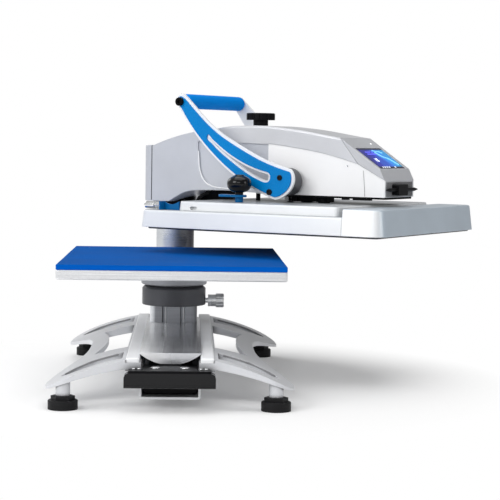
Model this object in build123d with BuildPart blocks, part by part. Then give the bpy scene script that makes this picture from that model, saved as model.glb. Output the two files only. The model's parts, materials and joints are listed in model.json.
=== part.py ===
# A swing-away heat press: an arched base on four levelling feet, a draw carriage that
# carries the lower platen, and a head that swings on a round post behind it.
# The head is drawn swung out to the right, with its handle raised.
#
# Origin: on the floor, midway between the four feet. +X right, +Y back, +Z up.
from build123d import *
from math import cos, pi, radians, sin, sqrt
import os

os.makedirs("parts", exist_ok=True)

# Driving dimensions, in millimetres and degrees
platen_width = 406.4        # 16 in, across the press
platen_length = 508.0       # 20 in, front to back
pad_top = 235.0
pad_thick = 9.5
plate_thick = 17.3
platen_centre_y = 19.0
foot_x = 180.0
foot_y = 350.0
foot_radius = 25.4
post_y = 343.0
post_radius = 39.3
swing_angle = 56.4          # from over the lower platen, towards the right
press_travel = 44.5         # heat platen, from raised to pressing
handle_turn = 112.0         # handle, from raised to pressing
run_fit = 0.05              # radial gap of a running shaft
seat_gap = 0.3              # gap between parts that slide past each other

# Base
arch_top = 91.0
arch_radius = 425.0
under_radius = 532.0        # the legs' lower arc, nearer the upper one at their tips
under_arc_z = -457.5
web_depth = 9.0
relief_depth = 17.0
leg_tip_x = 214.0
leg_end_y = 359.0
rail_inner_x = 51.5
rail_outer_x = 75.0
rail_top = 88.0
rail_bottom = 80.0
lug_x = 49.0
lug_bottom = 66.0
foot_height = 16.0
boss_bottom = 23.0
boss_radius = 12.3
stud_radius = 6.0
channel_half = 52.0
channel_wall = 4.0
channel_bottom = 18.0
channel_front = -355.0
channel_back = 388.0

# Draw carriage
bar_top = 91.0
bar_half = 53.2
bar_front = -310.0
bar_back = 268.0
tray_half = 38.0
tray_top = 66.0
tray_front = -322.0
tray_back = 180.0
slide_low = 42.0
slide_high = 50.0
grip_front = -386.0
pedestal_y = 205.0
pedestal_size = 94.0
pedestal_top = 124.0
collar_radius = 64.0
collar_top = 162.0
hub_gap_top = 165.0
hub_radius = 66.0
clamp_z = 132.0

# Head, along its own axis from the post
housing_half = 63.0
housing_back = -45.0
cap_seam = -18.0
housing_bottom = 329.0
housing_front = 262.0
cover_step_x = 138.0
panel_bottom = 351.0
panel_thick = 3.0
shaft_x = 317.0
shaft_z = 385.0
shaft_radius = 12.5
arm_inner = 104.0
arm_thick = 6.0
inlay_thick = 3.0
grip_x = 90.0
grip_z = 533.0
grip_radius = 15.0
knob_x = 206.0
inlet_x = 70.0
inlet_z = 382.0
switch_z = 423.0
pivot_far = 64.5            # the pivot of the switch, towards the far side
pivot_radius = 1.2
rocker_rest = radians(-7)

# Heat platen and its casing
heat_front = 579.0
heat_back = 71.0
heat_bottom = 280.3
heat_thick = 19.7
case_back = 60.0
case_front = 591.0
case_half = 215.0
case_bottom = 284.0
case_top = 318.0
case_front_top = 333.0
case_seam = 510.0
case_draft = 7.0            # degrees
case_wall = 2.5
deck_back = 137.0
deck_front = 493.0
deck_half = 195.0
deck_top = 336.0
frame_low = 347.0
rod_rear_x = 257.0
rod_front_x = 377.0
rod_y = 38.0
rod_radius = 6.5
ram_radius = 11.5

head_dir = Vector(sin(radians(swing_angle)), -cos(radians(swing_angle)), 0)
near_dir = Vector(-cos(radians(swing_angle)), -sin(radians(swing_angle)), 0)
post_axis = Vector(0, post_y, 0)


def level(z):
    """A level plane of the head: x forward along it, y towards its far side."""
    return Plane(origin=post_axis + Vector(0, 0, z), x_dir=head_dir, z_dir=(0, 0, 1))


def side(y=0.0):
    """An upright plane along the head: x forward, y up, facing the near side."""
    return Plane(origin=post_axis + near_dir * y, x_dir=head_dir, z_dir=near_dir)


def across(x):
    """An upright plane across the head: x towards the far side, y up, facing forward."""
    return Plane(origin=post_axis + head_dir * x, x_dir=-near_dir, z_dir=head_dir)


def along_near(shape):
    """How far a face or an edge lies towards the head's near side."""
    return (shape.center() - post_axis).dot(near_dir)


rail_bolt_ys = (-330.0, 330.0)
rail_bolt_x = 60.0
rail_bolts = [(x, y) for x in (-rail_bolt_x, rail_bolt_x) for y in rail_bolt_ys]


def save(part_name, label):
    """Label a finished part and write its file."""
    part_name.part.label = label
    export_step(part_name.part, "parts/" + label + ".step")


# Leg castings. Each is an open frame cut from an arched plate: two arms that run out to
# the feet, a crescent web between them, and a flange under the rail.
def leg_casting(sign, label):
    """One leg; the plan is drawn for the right side and turned over for the left."""
    arc_z = arch_top - arch_radius
    arm_span = leg_tip_x - rail_outer_x
    flange = 27.0
    front_notch = [(213, -276), (199, -228), (183, -188), (166, -140), (154, 0)]
    notch = front_notch + [(x, -y) for x, y in reversed(front_notch[:-1])]
    foot_places = [(foot_x * sign, -foot_y), (foot_x * sign, foot_y)]
    # The bosses over the feet end just under the leg's top
    with BuildPart() as pillars:
        with BuildSketch(Plane.XY.offset(boss_bottom)) as pillar_plan:
            with Locations(*foot_places):
                Circle(boss_radius)
        extrude(amount=arch_top - boss_bottom)
        with BuildSketch(Plane.XZ) as under_top:
            with Locations((0, arc_z)):
                Circle(arch_radius - 1.5)
        extrude(amount=leg_end_y + 20, both=True, mode=Mode.INTERSECT)
    with BuildPart() as leg:
        # The section: the band between the two arcs, and the flange at its root
        with BuildSketch(Plane.XZ) as arch:
            with Locations((0, arc_z)):
                Circle(arch_radius)
            with Locations((0, under_arc_z)):
                Circle(under_radius, mode=Mode.SUBTRACT)
            with Locations(((rail_outer_x + arm_span / 2) * sign, 50)):
                Rectangle(arm_span, 100, mode=Mode.INTERSECT)
            with Locations(((lug_x + flange / 2) * sign, (lug_bottom + rail_bottom) / 2)):
                Rectangle(flange, rail_bottom - lug_bottom)
        extrude(amount=leg_end_y + 20, both=True)
        # The plan: outer edge, window, arm slots, and the step between the lugs
        with BuildSketch(Plane.XY) as plan:
            with BuildLine():
                front = Line((lug_x * sign, 4 - leg_end_y), (160 * sign, -leg_end_y - 5))
                back = Line((lug_x * sign, leg_end_y - 4), (160 * sign, leg_end_y + 5))
                Line(front @ 0, back @ 0)
                outer = Spline([(x * sign, y) for x, y in notch])
                Spline([front @ 1, (198 * sign, -355), (212 * sign, -318), outer @ 0])
                Spline([back @ 1, (198 * sign, 355), (212 * sign, 318), outer @ 1])
            make_face()
            with BuildLine():
                low = Line((78 * sign, -174), (138 * sign, -166))
                high = Line((78 * sign, 174), (138 * sign, 166))
                Line(low @ 0, high @ 0)
                ThreePointArc(low @ 1, (121 * sign, 0), high @ 1)
            make_face(mode=Mode.SUBTRACT)
            for way in (-1, 1):
                with BuildLine():
                    near = Line((82 * sign, 322 * way), (150 * sign, 325 * way))
                    far = Line((82 * sign, 242 * way), (136 * sign, 249 * way))
                    Line(near @ 0, far @ 0)
                    slot_tip = (189 * sign, 296 * way)
                    Spline([near @ 1, (176 * sign, 315 * way), slot_tip])
                    Spline([far @ 1, (168 * sign, 270 * way), slot_tip])
                make_face(mode=Mode.SUBTRACT)
            with Locations((31 * sign, 0)):
                Rectangle(62, 620, mode=Mode.SUBTRACT)
        extrude(amount=arch_top + 10, mode=Mode.INTERSECT)
        # The web between the arms is thinner than the arms
        with BuildSketch(Plane.XZ) as relief:
            with Locations((0, arc_z)):
                Circle(arch_radius - web_depth)
                Circle(arch_radius - relief_depth, mode=Mode.SUBTRACT)
            with Locations((165 * sign, 50)):
                Rectangle(96, 100, mode=Mode.INTERSECT)
        extrude(amount=150, both=True, mode=Mode.SUBTRACT)
        add(pillars.part)
        with BuildSketch(Plane.XY.offset(boss_bottom)) as stud_holes:
            with Locations(*foot_places):
                Circle(stud_radius + run_fit)
        extrude(amount=13, mode=Mode.SUBTRACT)
        with BuildSketch(Plane.XY.offset(lug_bottom)) as bolt_holes:
            with Locations(*[(rail_bolt_x * sign, y) for y in rail_bolt_ys]):
                Circle(4.2)
        extrude(amount=rail_bottom - lug_bottom, mode=Mode.SUBTRACT)
    save(leg, label)


leg_casting(-1, "left_leg")
leg_casting(1, "right_leg")


# Side rails: flat strips that lie on the leg flanges and edge the carriage
def side_rail(sign, label):
    width = rail_outer_x - rail_inner_x
    with BuildPart() as rail:
        with BuildSketch(Plane.XY.offset(rail_bottom)) as strip:
            with Locations(((rail_inner_x + width / 2) * sign, 0)):
                RectangleRounded(width, 2 * leg_end_y - 8, 3)
        extrude(amount=rail_top - rail_bottom)
        long_edges = rail.edges().filter_by(Axis.Y).filter_by(lambda e: e.length > 600)
        outer_edges = long_edges.group_by(Axis.X)[-1 if sign > 0 else 0]
        fillet(outer_edges.sort_by(Axis.Z)[-1], 3)
        with BuildSketch(Plane.XY.offset(rail_bottom)) as taps:
            with Locations(*[(rail_bolt_x * sign, y) for y in rail_bolt_ys]):
                Circle(4.2)
        extrude(amount=5, mode=Mode.SUBTRACT)
    save(rail, label)


side_rail(-1, "left_rail")
side_rail(1, "right_rail")

# Under channel: a folded tray hung from the lugs by its lips
channel_length = channel_back - channel_front
channel_mid_y = (channel_back + channel_front) / 2
lip_width = 15.0
with BuildPart() as under_channel:
    channel_height = lug_bottom - channel_bottom
    with BuildSketch(Plane.XZ.offset(-channel_back)) as channel_section:
        with Locations((0, channel_bottom + channel_height / 2)):
            Rectangle(2 * channel_half, channel_height)
        fillet(channel_section.vertices().group_by(Axis.Y)[0], 5)
        with Locations((0, lug_bottom - channel_wall / 2)):
            Rectangle(2 * (channel_half + lip_width), channel_wall)
        with Locations((0, channel_bottom + channel_wall + channel_height / 2)):
            Rectangle(2 * (channel_half - channel_wall), channel_height, mode=Mode.SUBTRACT)
    extrude(amount=channel_length)
    with BuildSketch(Plane.XY.offset(lug_bottom)) as lip_holes:
        with Locations(*rail_bolts):
            Circle(4.2)
    extrude(amount=-channel_wall, mode=Mode.SUBTRACT)
    with BuildSketch(Plane.XY.offset(channel_bottom)) as floor_holes:
        with Locations((0, post_y)):
            with GridLocations(60, 60, 2, 2):
                Circle(4.2)
    extrude(amount=channel_wall, mode=Mode.SUBTRACT)
save(under_channel, "under_channel")

# Post foot: a block on the channel floor with a round socket for the post
foot_floor = channel_bottom + channel_wall
socket_bottom = 40.0
socket_top = 125.0
with BuildPart() as post_foot:
    with BuildSketch(Plane.XY.offset(foot_floor)) as foot_block:
        with Locations((0, post_y)):
            RectangleRounded(92, 88, 8)
    extrude(amount=62)
    with BuildSketch(Plane.XY.offset(foot_floor)) as foot_socket:
        with Locations((0, post_y)):
            Circle(post_radius + 7)
    extrude(amount=socket_top - foot_floor)
    chamfer(edges().group_by(Axis.Z)[-1], 2)
    with BuildSketch(Plane.XY.offset(socket_bottom)) as foot_bore:
        with Locations((0, post_y)):
            Circle(post_radius)
    extrude(amount=socket_top - socket_bottom, mode=Mode.SUBTRACT)
    with BuildSketch(Plane.XY.offset(foot_floor)) as foot_taps:
        with Locations((0, post_y)):
            with GridLocations(60, 60, 2, 2):
                Circle(4.2)
    extrude(amount=14, mode=Mode.SUBTRACT)
save(post_foot, "post_foot")

# Post: a thick steel tube that the head turns on
post_top = 424.0
with BuildPart() as post:
    with BuildSketch(Plane.XY.offset(socket_bottom)) as post_ring:
        with Locations((0, post_y)):
            Circle(post_radius)
            Circle(post_radius - 9, mode=Mode.SUBTRACT)
    extrude(amount=post_top - socket_bottom)
    chamfer(edges().group_by(Axis.Z)[-1], 1.5)
save(post, "post")

# Swing collar: a split ring clamped on the post, with the head resting on it
collar_low = 314.0
collar_high = housing_bottom - seat_gap
collar_lug_angle = 110.0
lug_dir = Vector(cos(radians(collar_lug_angle)), sin(radians(collar_lug_angle)), 0)
lug_across = Vector(-lug_dir.Y, lug_dir.X, 0)
collar_mid = (collar_low + collar_high) / 2
bolt_plane = Plane(origin=(0, post_y, collar_mid), x_dir=lug_dir, z_dir=lug_across)
with BuildPart() as swing_collar:
    collar_plane = Plane(origin=(0, post_y, collar_low), x_dir=lug_dir, z_dir=(0, 0, 1))
    with BuildSketch(collar_plane) as collar_ring:
        Circle(47)
        with Locations((54, 0)):
            Rectangle(32, 30)
        Circle(post_radius, mode=Mode.SUBTRACT)
        with Locations((56, 0)):
            Rectangle(36, 3, mode=Mode.SUBTRACT)
    extrude(amount=collar_high - collar_low)
    with BuildSketch(bolt_plane) as clamp_hole:
        with Locations((61, 0)):
            Circle(3.2)
    extrude(amount=20, both=True, mode=Mode.SUBTRACT)
save(swing_collar, "swing_collar")

# Base fasteners: rail bolts, post foot bolts and the swing collar's clamping bolt
with BuildPart() as base_fasteners:
    with BuildSketch(Plane.XY.offset(lug_bottom - channel_wall - 7)) as rail_heads:
        with Locations(*rail_bolts):
            RegularPolygon(6, 6)
    extrude(amount=7)
    with BuildSketch(Plane.XY.offset(lug_bottom - channel_wall - 1)) as rail_shanks:
        with Locations(*rail_bolts):
            Circle(4)
    extrude(amount=rail_bottom + 4 - lug_bottom + channel_wall + 1)
    with BuildSketch(Plane.XY.offset(channel_bottom - 6)) as foot_heads:
        with Locations((0, post_y)):
            with GridLocations(60, 60, 2, 2):
                RegularPolygon(6.5, 6)
    extrude(amount=6)
    with BuildSketch(Plane.XY.offset(channel_bottom - 1)) as foot_shanks:
        with Locations((0, post_y)):
            with GridLocations(60, 60, 2, 2):
                Circle(4)
    extrude(amount=channel_wall + 14)
    with BuildSketch(bolt_plane.offset(-23)) as collar_shank:
        with Locations((61, 0)):
            Circle(3)
    extrude(amount=42)
    with BuildSketch(bolt_plane.offset(-23)) as collar_head:
        with Locations((61, 0)):
            Circle(5.5)
            RegularPolygon(2.6, 6, mode=Mode.SUBTRACT)
    extrude(amount=8)
    with BuildSketch(bolt_plane.offset(15)) as collar_nut:
        with Locations((61, 0)):
            RegularPolygon(6, 6)
    extrude(amount=5)
save(base_fasteners, "base_fasteners")


# Levelling feet: a round pad and a jam nut on a threaded stud, turned by hand
def levelling_foot(x, y, label):
    with BuildPart() as foot:
        with BuildSketch(Plane.XY) as pad:
            with Locations((x, y)):
                Circle(foot_radius)
        extrude(amount=foot_height)
        fillet(foot.edges().group_by(Axis.Z)[-1], 2.5)
        with BuildSketch(Plane.XY.offset(foot_height)) as nut:
            with Locations((x, y)):
                RegularPolygon(20.5, 6)
        extrude(amount=boss_bottom - foot_height - seat_gap)
        with BuildSketch(Plane.XY.offset(foot_height)) as stud:
            with Locations((x, y)):
                Circle(stud_radius)
        extrude(amount=18)
    save(foot, label)


levelling_foot(-foot_x, -foot_y, "foot_front_left")
levelling_foot(foot_x, -foot_y, "foot_front_right")
levelling_foot(-foot_x, foot_y, "foot_rear_left")
levelling_foot(foot_x, foot_y, "foot_rear_right")

# Slides: grooved outer members on the channel walls, inner members on the tray
slide_wall = channel_half - channel_wall
outer_slide_thick = 6.0
with BuildPart() as outer_slides:
    for sign in (-1, 1):
        with BuildSketch(Plane.XZ.offset(-220)) as outer_section:
            with Locations(((slide_wall - outer_slide_thick / 2) * sign, 46)):
                Rectangle(outer_slide_thick, 20)
            with Locations(((slide_wall - outer_slide_thick + 1.75) * sign, 46)):
                Rectangle(3.5, slide_high - slide_low + 2 * seat_gap, mode=Mode.SUBTRACT)
        extrude(amount=540)
save(outer_slides, "outer_slides")

with BuildPart() as inner_slides:
    inner_reach = slide_wall - outer_slide_thick + 3.5 - seat_gap
    for sign in (-1, 1):
        with BuildSketch(Plane.XZ.offset(-tray_back)) as inner_section:
            with Locations(((tray_half + inner_reach) / 2 * sign, 46)):
                Rectangle(inner_reach - tray_half, slide_high - slide_low)
        extrude(amount=tray_back + 316)
save(inner_slides, "inner_slides")

# Drawer tray: the black box under the carriage, with a wider front plate
saddle_top = 72.0
with BuildPart() as drawer_tray:
    with BuildSketch(Plane.XZ.offset(-tray_back)) as tray_section:
        with Locations((0, (36 + tray_top) / 2)):
            Rectangle(2 * tray_half, tray_top - 36)
        with Locations((0, (tray_top + saddle_top) / 2)):
            Rectangle(30, saddle_top - tray_top)
    extrude(amount=tray_back - tray_front - 20)
    with BuildSketch(Plane.XZ.offset(-tray_front - 20)) as tray_nose:
        with Locations((0, (36 + tray_top) / 2)):
            Rectangle(2 * tray_half, tray_top - 36)
    extrude(amount=20)
    with BuildSketch(Plane.XZ.offset(-tray_front)) as tray_plate:
        with Locations((0, 45)):
            Rectangle(93, 42)
        fillet(tray_plate.vertices().group_by(Axis.Y)[0], 8)
    extrude(amount=6)
save(drawer_tray, "drawer_tray")

# Handle bracket: a T-shaped plate from the tray to the grip
bracket_top = 70.0
with BuildPart() as handle_bracket:
    with BuildSketch(Plane.XY.offset(tray_top)) as bracket_plan:
        with Locations((0, -371)):
            RectangleRounded(140, 28, 7)
        with Locations((0, -333)):
            Rectangle(92, 60)
    extrude(amount=bracket_top - tray_top)
    fillet(edges().group_by(Axis.Z)[-1].group_by(Axis.Y)[0], 2)
save(handle_bracket, "handle_bracket")

# Draw handle: the moulded grip under the bracket, with a flange that its screws hold
with BuildPart() as draw_handle:
    with BuildSketch(Plane.YZ.offset(-77)) as grip_section:
        with Locations((-372, 53)):
            Rectangle(26, 26)
        fillet(grip_section.vertices().group_by(Axis.Y)[0], 6)
        with Locations((grip_front, 46.5)):
            Rectangle(3, 1.6, mode=Mode.SUBTRACT)
        with Locations((-360, 52)):
            Circle(7, mode=Mode.SUBTRACT)
    extrude(amount=154)
    with BuildSketch(Plane.XY.offset(58)) as grip_flange:
        with Locations((0, -350)):
            Rectangle(90, 24)
    extrude(amount=tray_top - 58)
    with BuildSketch(Plane.XZ.offset(330)) as grip_view:
        with Locations((0, 53)):
            Rectangle(154, 26)
        fillet(grip_view.vertices().group_by(Axis.Y)[-1], 9)
    extrude(amount=60, mode=Mode.INTERSECT)
save(draw_handle, "draw_handle")

with BuildPart() as drawer_screws:
    with BuildSketch(Plane.XY.offset(bracket_top)) as bracket_screws:
        with Locations(*[(x, -361) for x in (-61, -52, 52, 61)]):
            Circle(3.5)
        with Locations((-25, -348), (25, -348)):
            Circle(8)
    extrude(amount=1.8)
    chamfer(edges().group_by(Axis.Z)[-1], 0.6)
    with BuildSketch(Plane.XZ.offset(-tray_front + 6)) as plate_screws:
        with Locations((0, 38)):
            with GridLocations(18.7, 1, 5, 1):
                Circle(2.6)
    extrude(amount=1.6)
save(drawer_screws, "drawer_screws")

# Carriage bar: a half-moon extrusion with a flat top that the pedestal stands on
with BuildPart() as carriage_bar:
    with BuildSketch(Plane.XZ.offset(-bar_back)) as moon:
        with BuildLine():
            Polyline((-bar_half, bar_top - 1.2), (-bar_half, bar_top), (bar_half, bar_top),
                     (bar_half, bar_top - 1.2))
            belly = ThreePointArc((bar_half, bar_top - 1.2), (0, saddle_top - 1.7),
                                  (-bar_half, bar_top - 1.2))
        make_face()
        with Locations((0, saddle_top - 5)):
            Rectangle(2 * bar_half, 10, mode=Mode.SUBTRACT)
    extrude(amount=bar_back - bar_front)
save(carriage_bar, "carriage_bar")

# Pedestal: a fluted block under the platen's rear, so garments thread over the front
with BuildPart() as pedestal:
    with BuildSketch(Plane.XY.offset(bar_top)) as pedestal_plan:
        with Locations((0, pedestal_y)):
            RectangleRounded(pedestal_size, pedestal_size, 12)
            with GridLocations(36, pedestal_size, 2, 2):
                Circle(5, mode=Mode.SUBTRACT)
            with GridLocations(pedestal_size, 36, 2, 2):
                Circle(5, mode=Mode.SUBTRACT)
    extrude(amount=pedestal_top - bar_top)
save(pedestal, "pedestal")

# Clamp collar: the round socket on the pedestal that grips the platen's spigot
spigot_radius = 45.0
spigot_bottom = 127.0
with BuildPart() as clamp_collar:
    with BuildSketch(Plane.XY.offset(pedestal_top)) as collar_plan:
        with Locations((0, pedestal_y)):
            Circle(collar_radius)
    extrude(amount=collar_top - pedestal_top)
    chamfer(edges().group_by(Axis.Z)[-1], 5)
    fillet(edges().group_by(Axis.Z)[0], 1.5)
    with BuildSketch(Plane.XY.offset(spigot_bottom)) as collar_bore:
        with Locations((0, pedestal_y)):
            Circle(spigot_radius + 0.1)
    extrude(amount=collar_top - spigot_bottom, mode=Mode.SUBTRACT)
    with BuildSketch(Plane.YZ) as screw_hole:
        with Locations((pedestal_y, clamp_z)):
            Circle(5 + run_fit)
    extrude(amount=collar_radius + 5, mode=Mode.SUBTRACT)
save(clamp_collar, "clamp_collar")

# Platen hub: spigot, ring and flange, bolted under the lower platen
plate_bottom = pad_top - pad_thick - plate_thick
with BuildPart() as platen_hub:
    with BuildSketch(Plane.XZ.offset(-pedestal_y)) as hub_half:
        with BuildLine():
            Polyline((0, spigot_bottom), (spigot_radius, spigot_bottom),
                     (spigot_radius, hub_gap_top), (hub_radius - 2, hub_gap_top),
                     (hub_radius, hub_gap_top + 2), (hub_radius, 178),
                     (56, 184), (56, 198), (hub_radius, 200),
                     (hub_radius, plate_bottom), (0, plate_bottom), (0, spigot_bottom))
        make_face()
    revolve(axis=Axis((0, pedestal_y, 0), (0, 0, 1)))
save(platen_hub, "platen_hub")

# Clamp knob: a lobed knob on a screw that bears on the spigot
with BuildPart() as clamp_knob:
    screw_tip = spigot_radius + seat_gap
    with BuildSketch(Plane.YZ.offset(screw_tip)) as clamp_screw:
        with Locations((pedestal_y, clamp_z)):
            Circle(5)
    extrude(amount=70 - screw_tip)
    with BuildSketch(Plane.YZ.offset(69)) as knob_neck:
        with Locations((pedestal_y, clamp_z)):
            Circle(12)
    extrude(amount=18)
    with BuildSketch(Plane.YZ.offset(85)) as knob_lobes:
        with Locations((pedestal_y, clamp_z)):
            Circle(14)
            with PolarLocations(15, 7):
                Circle(2.6, mode=Mode.SUBTRACT)
    extrude(amount=16)
    chamfer(edges().group_by(Axis.X)[-1], 1.2)
save(clamp_knob, "clamp_knob")

# Lower platen and its silicone pad
with BuildPart() as lower_platen:
    with BuildSketch(Plane.XY.offset(plate_bottom)) as plate_plan:
        with Locations((0, platen_centre_y)):
            RectangleRounded(platen_width, platen_length, 4)
    extrude(amount=plate_thick)
    chamfer(edges().group_by(Axis.Z)[0], 2)
    chamfer(edges().group_by(Axis.Z)[-1], 1)
save(lower_platen, "lower_platen")

with BuildPart() as silicone_pad:
    with BuildSketch(Plane.XY.offset(pad_top - pad_thick)) as pad_plan:
        with Locations((0, platen_centre_y)):
            RectangleRounded(platen_width, platen_length, 5)
    extrude(amount=pad_thick)
    fillet(edges().group_by(Axis.Z)[-1], 1.2)
save(silicone_pad, "silicone_pad")

# Rear housing: the head's main casting, bored for the post and arched over the casing
bush_radius = post_radius + 2.5
bore_top = 430.0
pocket_x = 122.0
pocket_y = 40.0
cable_x = 216.0
cable_y = 22.0
beam_back = 232.0
beam_half = 57.0
with BuildPart() as rear_housing:
    with BuildSketch(side()) as housing_profile:
        with BuildLine():
            floor_line = Line((cap_seam, housing_bottom), (25, housing_bottom))
            arch_line = Spline([floor_line @ 1, (45, 340), (62, 348), (111, 354.5),
                                (172, 355), (housing_front, 352)])
            Polyline(arch_line @ 1, (housing_front, 449), (cover_step_x - seat_gap, 453),
                     (cover_step_x - seat_gap, 478.5))
            Spline([(cover_step_x - seat_gap, 478.5), (80, 471), (23, 457),
                    (cap_seam, 442)])
            Line((cap_seam, 442), floor_line @ 0)
        make_face()
    extrude(amount=housing_half, both=True)
    for recess_y in (housing_half, 3 - housing_half):
        with BuildSketch(side(recess_y)) as recess:
            with BuildLine():
                edge_line = Spline([(172, 359), (133, 362), (112, 374), (101, 395), (96, 453)])
                Polyline(edge_line @ 1, (housing_front, 449), (housing_front, 359),
                         edge_line @ 0)
            make_face()
        extrude(amount=-3, mode=Mode.SUBTRACT)
    with BuildSketch(level(housing_bottom)) as post_bore:
        Circle(bush_radius)
    extrude(amount=bore_top - housing_bottom, mode=Mode.SUBTRACT)
    with BuildSketch(level(housing_bottom)) as conduit_pocket:
        with Locations((pocket_x, -pocket_y)):
            RectangleRounded(44, 24, 8)
    extrude(amount=418 - housing_bottom, mode=Mode.SUBTRACT)
    with BuildSketch(level(345)) as cable_pocket:
        with Locations((cable_x, -cable_y)):
            Circle(8)
    extrude(amount=65, mode=Mode.SUBTRACT)
    with BuildSketch(level(345)) as beam_pocket:
        with Locations(((beam_back + housing_front) / 2, 0)):
            Rectangle(housing_front - beam_back, 2 * beam_half)
    extrude(amount=96, mode=Mode.SUBTRACT)
    with BuildSketch(level(435)) as spindle_hole:
        with Locations((knob_x, 0)):
            Circle(9 + run_fit)
    extrude(amount=30, both=True, mode=Mode.SUBTRACT)
    with BuildSketch(side(-housing_half)) as switch_pocket:
        with Locations((inlet_x, switch_z)):
            Rectangle(15, 22)
    extrude(amount=5, mode=Mode.SUBTRACT)
save(rear_housing, "rear_housing")

# Rear cover: the rounded cap behind the housing, with the inlet and the switch
with BuildPart() as rear_cover:
    with BuildSketch(side()) as cap_profile:
        with BuildLine():
            Polyline((housing_back, housing_bottom), (cap_seam, housing_bottom),
                     (cap_seam, 444.5), (housing_back, 443),
                     (housing_back, housing_bottom))
        make_face()
    extrude(amount=housing_half, both=True)
    rear_corners = edges().filter_by(Axis.Z).sort_by(lambda e: e.center().dot(head_dir))[:2]
    fillet(rear_corners, 24)
    fillet(rear_cover.edges().group_by(Axis.Z)[-1], 4)
    with BuildSketch(level(housing_bottom)) as cap_bore:
        Circle(bush_radius + seat_gap)
    extrude(amount=bore_top - housing_bottom, mode=Mode.SUBTRACT)
save(rear_cover, "rear_cover")

# Swing bushes: flanged sleeves at both ends of the housing's bore, running on the post
with BuildPart() as swing_bushes:
    for bush_low, flange_low in ((housing_bottom, housing_bottom), (390.0, 390.0)):
        with BuildSketch(level(bush_low)) as bush_ring:
            Circle(bush_radius)
            Circle(post_radius + run_fit, mode=Mode.SUBTRACT)
        extrude(amount=34)
save(swing_bushes, "swing_bushes")

# Cover band: the coloured sheet over the head's top, open below
band_bottom = [(262, 450.5), (287, 448), (333, 442), (378, 435), (425, 424.5),
               (463, 414)]
band_top = [(cover_step_x, 479), (169, 484), (216, 486), (244, 486), (286, 483),
            (332, 478), (377, 471), (422, 464)]
band_wall = 4.0
with BuildPart() as cover_band:
    with BuildSketch(side()) as band_profile:
        with BuildLine():
            crown = Spline(band_top)
            lower = Spline(list(reversed(band_bottom)))
            Polyline(crown @ 1, (425, 461), lower @ 0)
            Polyline(lower @ 1, (housing_front, 449), (cover_step_x, 453), crown @ 0)
        make_face()
    extrude(amount=housing_half, both=True)
    top_edges = cover_band.edges().filter_by(lambda e: abs(along_near(e)) > housing_half - 1)
    fillet(top_edges.filter_by(lambda e: e.center().Z > 465), 4)
    with BuildSketch(side()) as band_hollow:
        with BuildLine():
            inner = Spline([(housing_front + seat_gap, 481), (286, 479), (332, 474), (377, 467),
                            (424, 458)])
            Polyline(inner @ 1, (455, 410), (housing_front + seat_gap, 430), inner @ 0)
        make_face()
    extrude(amount=housing_half - band_wall, both=True, mode=Mode.SUBTRACT)
    with BuildSketch(level(440)) as band_hole:
        with Locations((knob_x, 0)):
            Circle(16)
    extrude(amount=60, mode=Mode.SUBTRACT)
save(cover_band, "cover_band")

# Side panels: pressed sheets that close the head's front, with the shaft hole
panel_front = 521.5


def side_panel(outer_y, label, extra):
    """A panel whose outer face is at outer_y; extra gives the hidden side its vents."""
    with BuildPart() as panel:
        with BuildSketch(side(outer_y)) as panel_face:
            with BuildLine():
                under = Spline([(x, z - seat_gap) for x, z in band_bottom])
                Polyline(under @ 1, (panel_front, 383.2), (panel_front, panel_bottom),
                         (housing_front + seat_gap, panel_bottom), under @ 0)
            make_face()
            with Locations((shaft_x, shaft_z)):
                Circle(17, mode=Mode.SUBTRACT)
            if extra:
                with Locations((420, 385)):
                    with GridLocations(12, 1, 6, 1):
                        SlotOverall(28, 4, rotation=90, mode=Mode.SUBTRACT)
        extrude(amount=-panel_thick)
    save(panel, label)


side_panel(housing_half - 1, "near_panel", False)
side_panel(panel_thick + 1 - housing_half, "far_panel", True)

# Console housing: the sloped front with the display's frame, closing the head's nose
console_hood = [(423.4, 463.9), (510.5, 405), (520.5, 384.6), (521.5, 383.7), (463.4, 414.4),
                (425.4, 461.4)]
nose_plate = [(517, panel_bottom), (521.5, panel_bottom), (521.5, 383.7), (520.5, 384.6),
              (512.8, 400), (508, 398), (517, 382.5)]
with BuildPart() as console_housing:
    with BuildSketch(side()) as hood_profile:
        with BuildLine():
            Polyline(*console_hood, close=True)
        make_face()
    extrude(amount=housing_half, both=True)
    with BuildSketch(side()) as nose_profile:
        with BuildLine():
            Polyline(*nose_plate, close=True)
        make_face()
    extrude(amount=housing_half - 4.4, both=True)
    with BuildSketch(side()) as console_hollow:
        with BuildLine():
            Polyline((436, 447), (501, 402.5), (508, 398), (517, 382.5), (517, 340), (400, 340),
                     (400, 425), close=True)
        make_face()
    extrude(amount=housing_half - 4, both=True, mode=Mode.SUBTRACT)
    screen_slope = Plane(origin=post_axis + head_dir * 480.1 + near_dir * 2 + Vector(0, 0, 425.5),
                         x_dir=-near_dir, z_dir=head_dir * 58.9 + Vector(0, 0, 87.1))
    with BuildSketch(screen_slope.offset(-3.5)) as screen_seat:
        RectangleRounded(106.6, 68.6, 3)
    extrude(amount=6, mode=Mode.SUBTRACT)
save(console_housing, "console_housing")

# Screen: the glass-fronted display, set flush in the console
with BuildPart() as screen:
    with BuildSketch(screen_slope.offset(-3.5)) as glass:
        RectangleRounded(106, 68, 3)
    extrude(amount=3.2)
save(screen, "screen")

# Under frame: the dark plate under the head, slotted for the cam and the spindle
frame_front = 520.5
cam_slot_x = shaft_x + 15
cam_slot_long = 98.0
with BuildPart() as under_frame:
    with BuildSketch(level(frame_low)) as frame_plan:
        with Locations(((264 + frame_front) / 2, 0)):
            RectangleRounded(frame_front - 264, 118, 5)
        with Locations((cam_slot_x, 0)):
            Rectangle(cam_slot_long, 34, mode=Mode.SUBTRACT)
        with Locations((rod_front_x, -rod_y)):
            Circle(rod_radius + 3, mode=Mode.SUBTRACT)
    extrude(amount=panel_bottom - frame_low)
save(under_frame, "under_frame")

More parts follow.
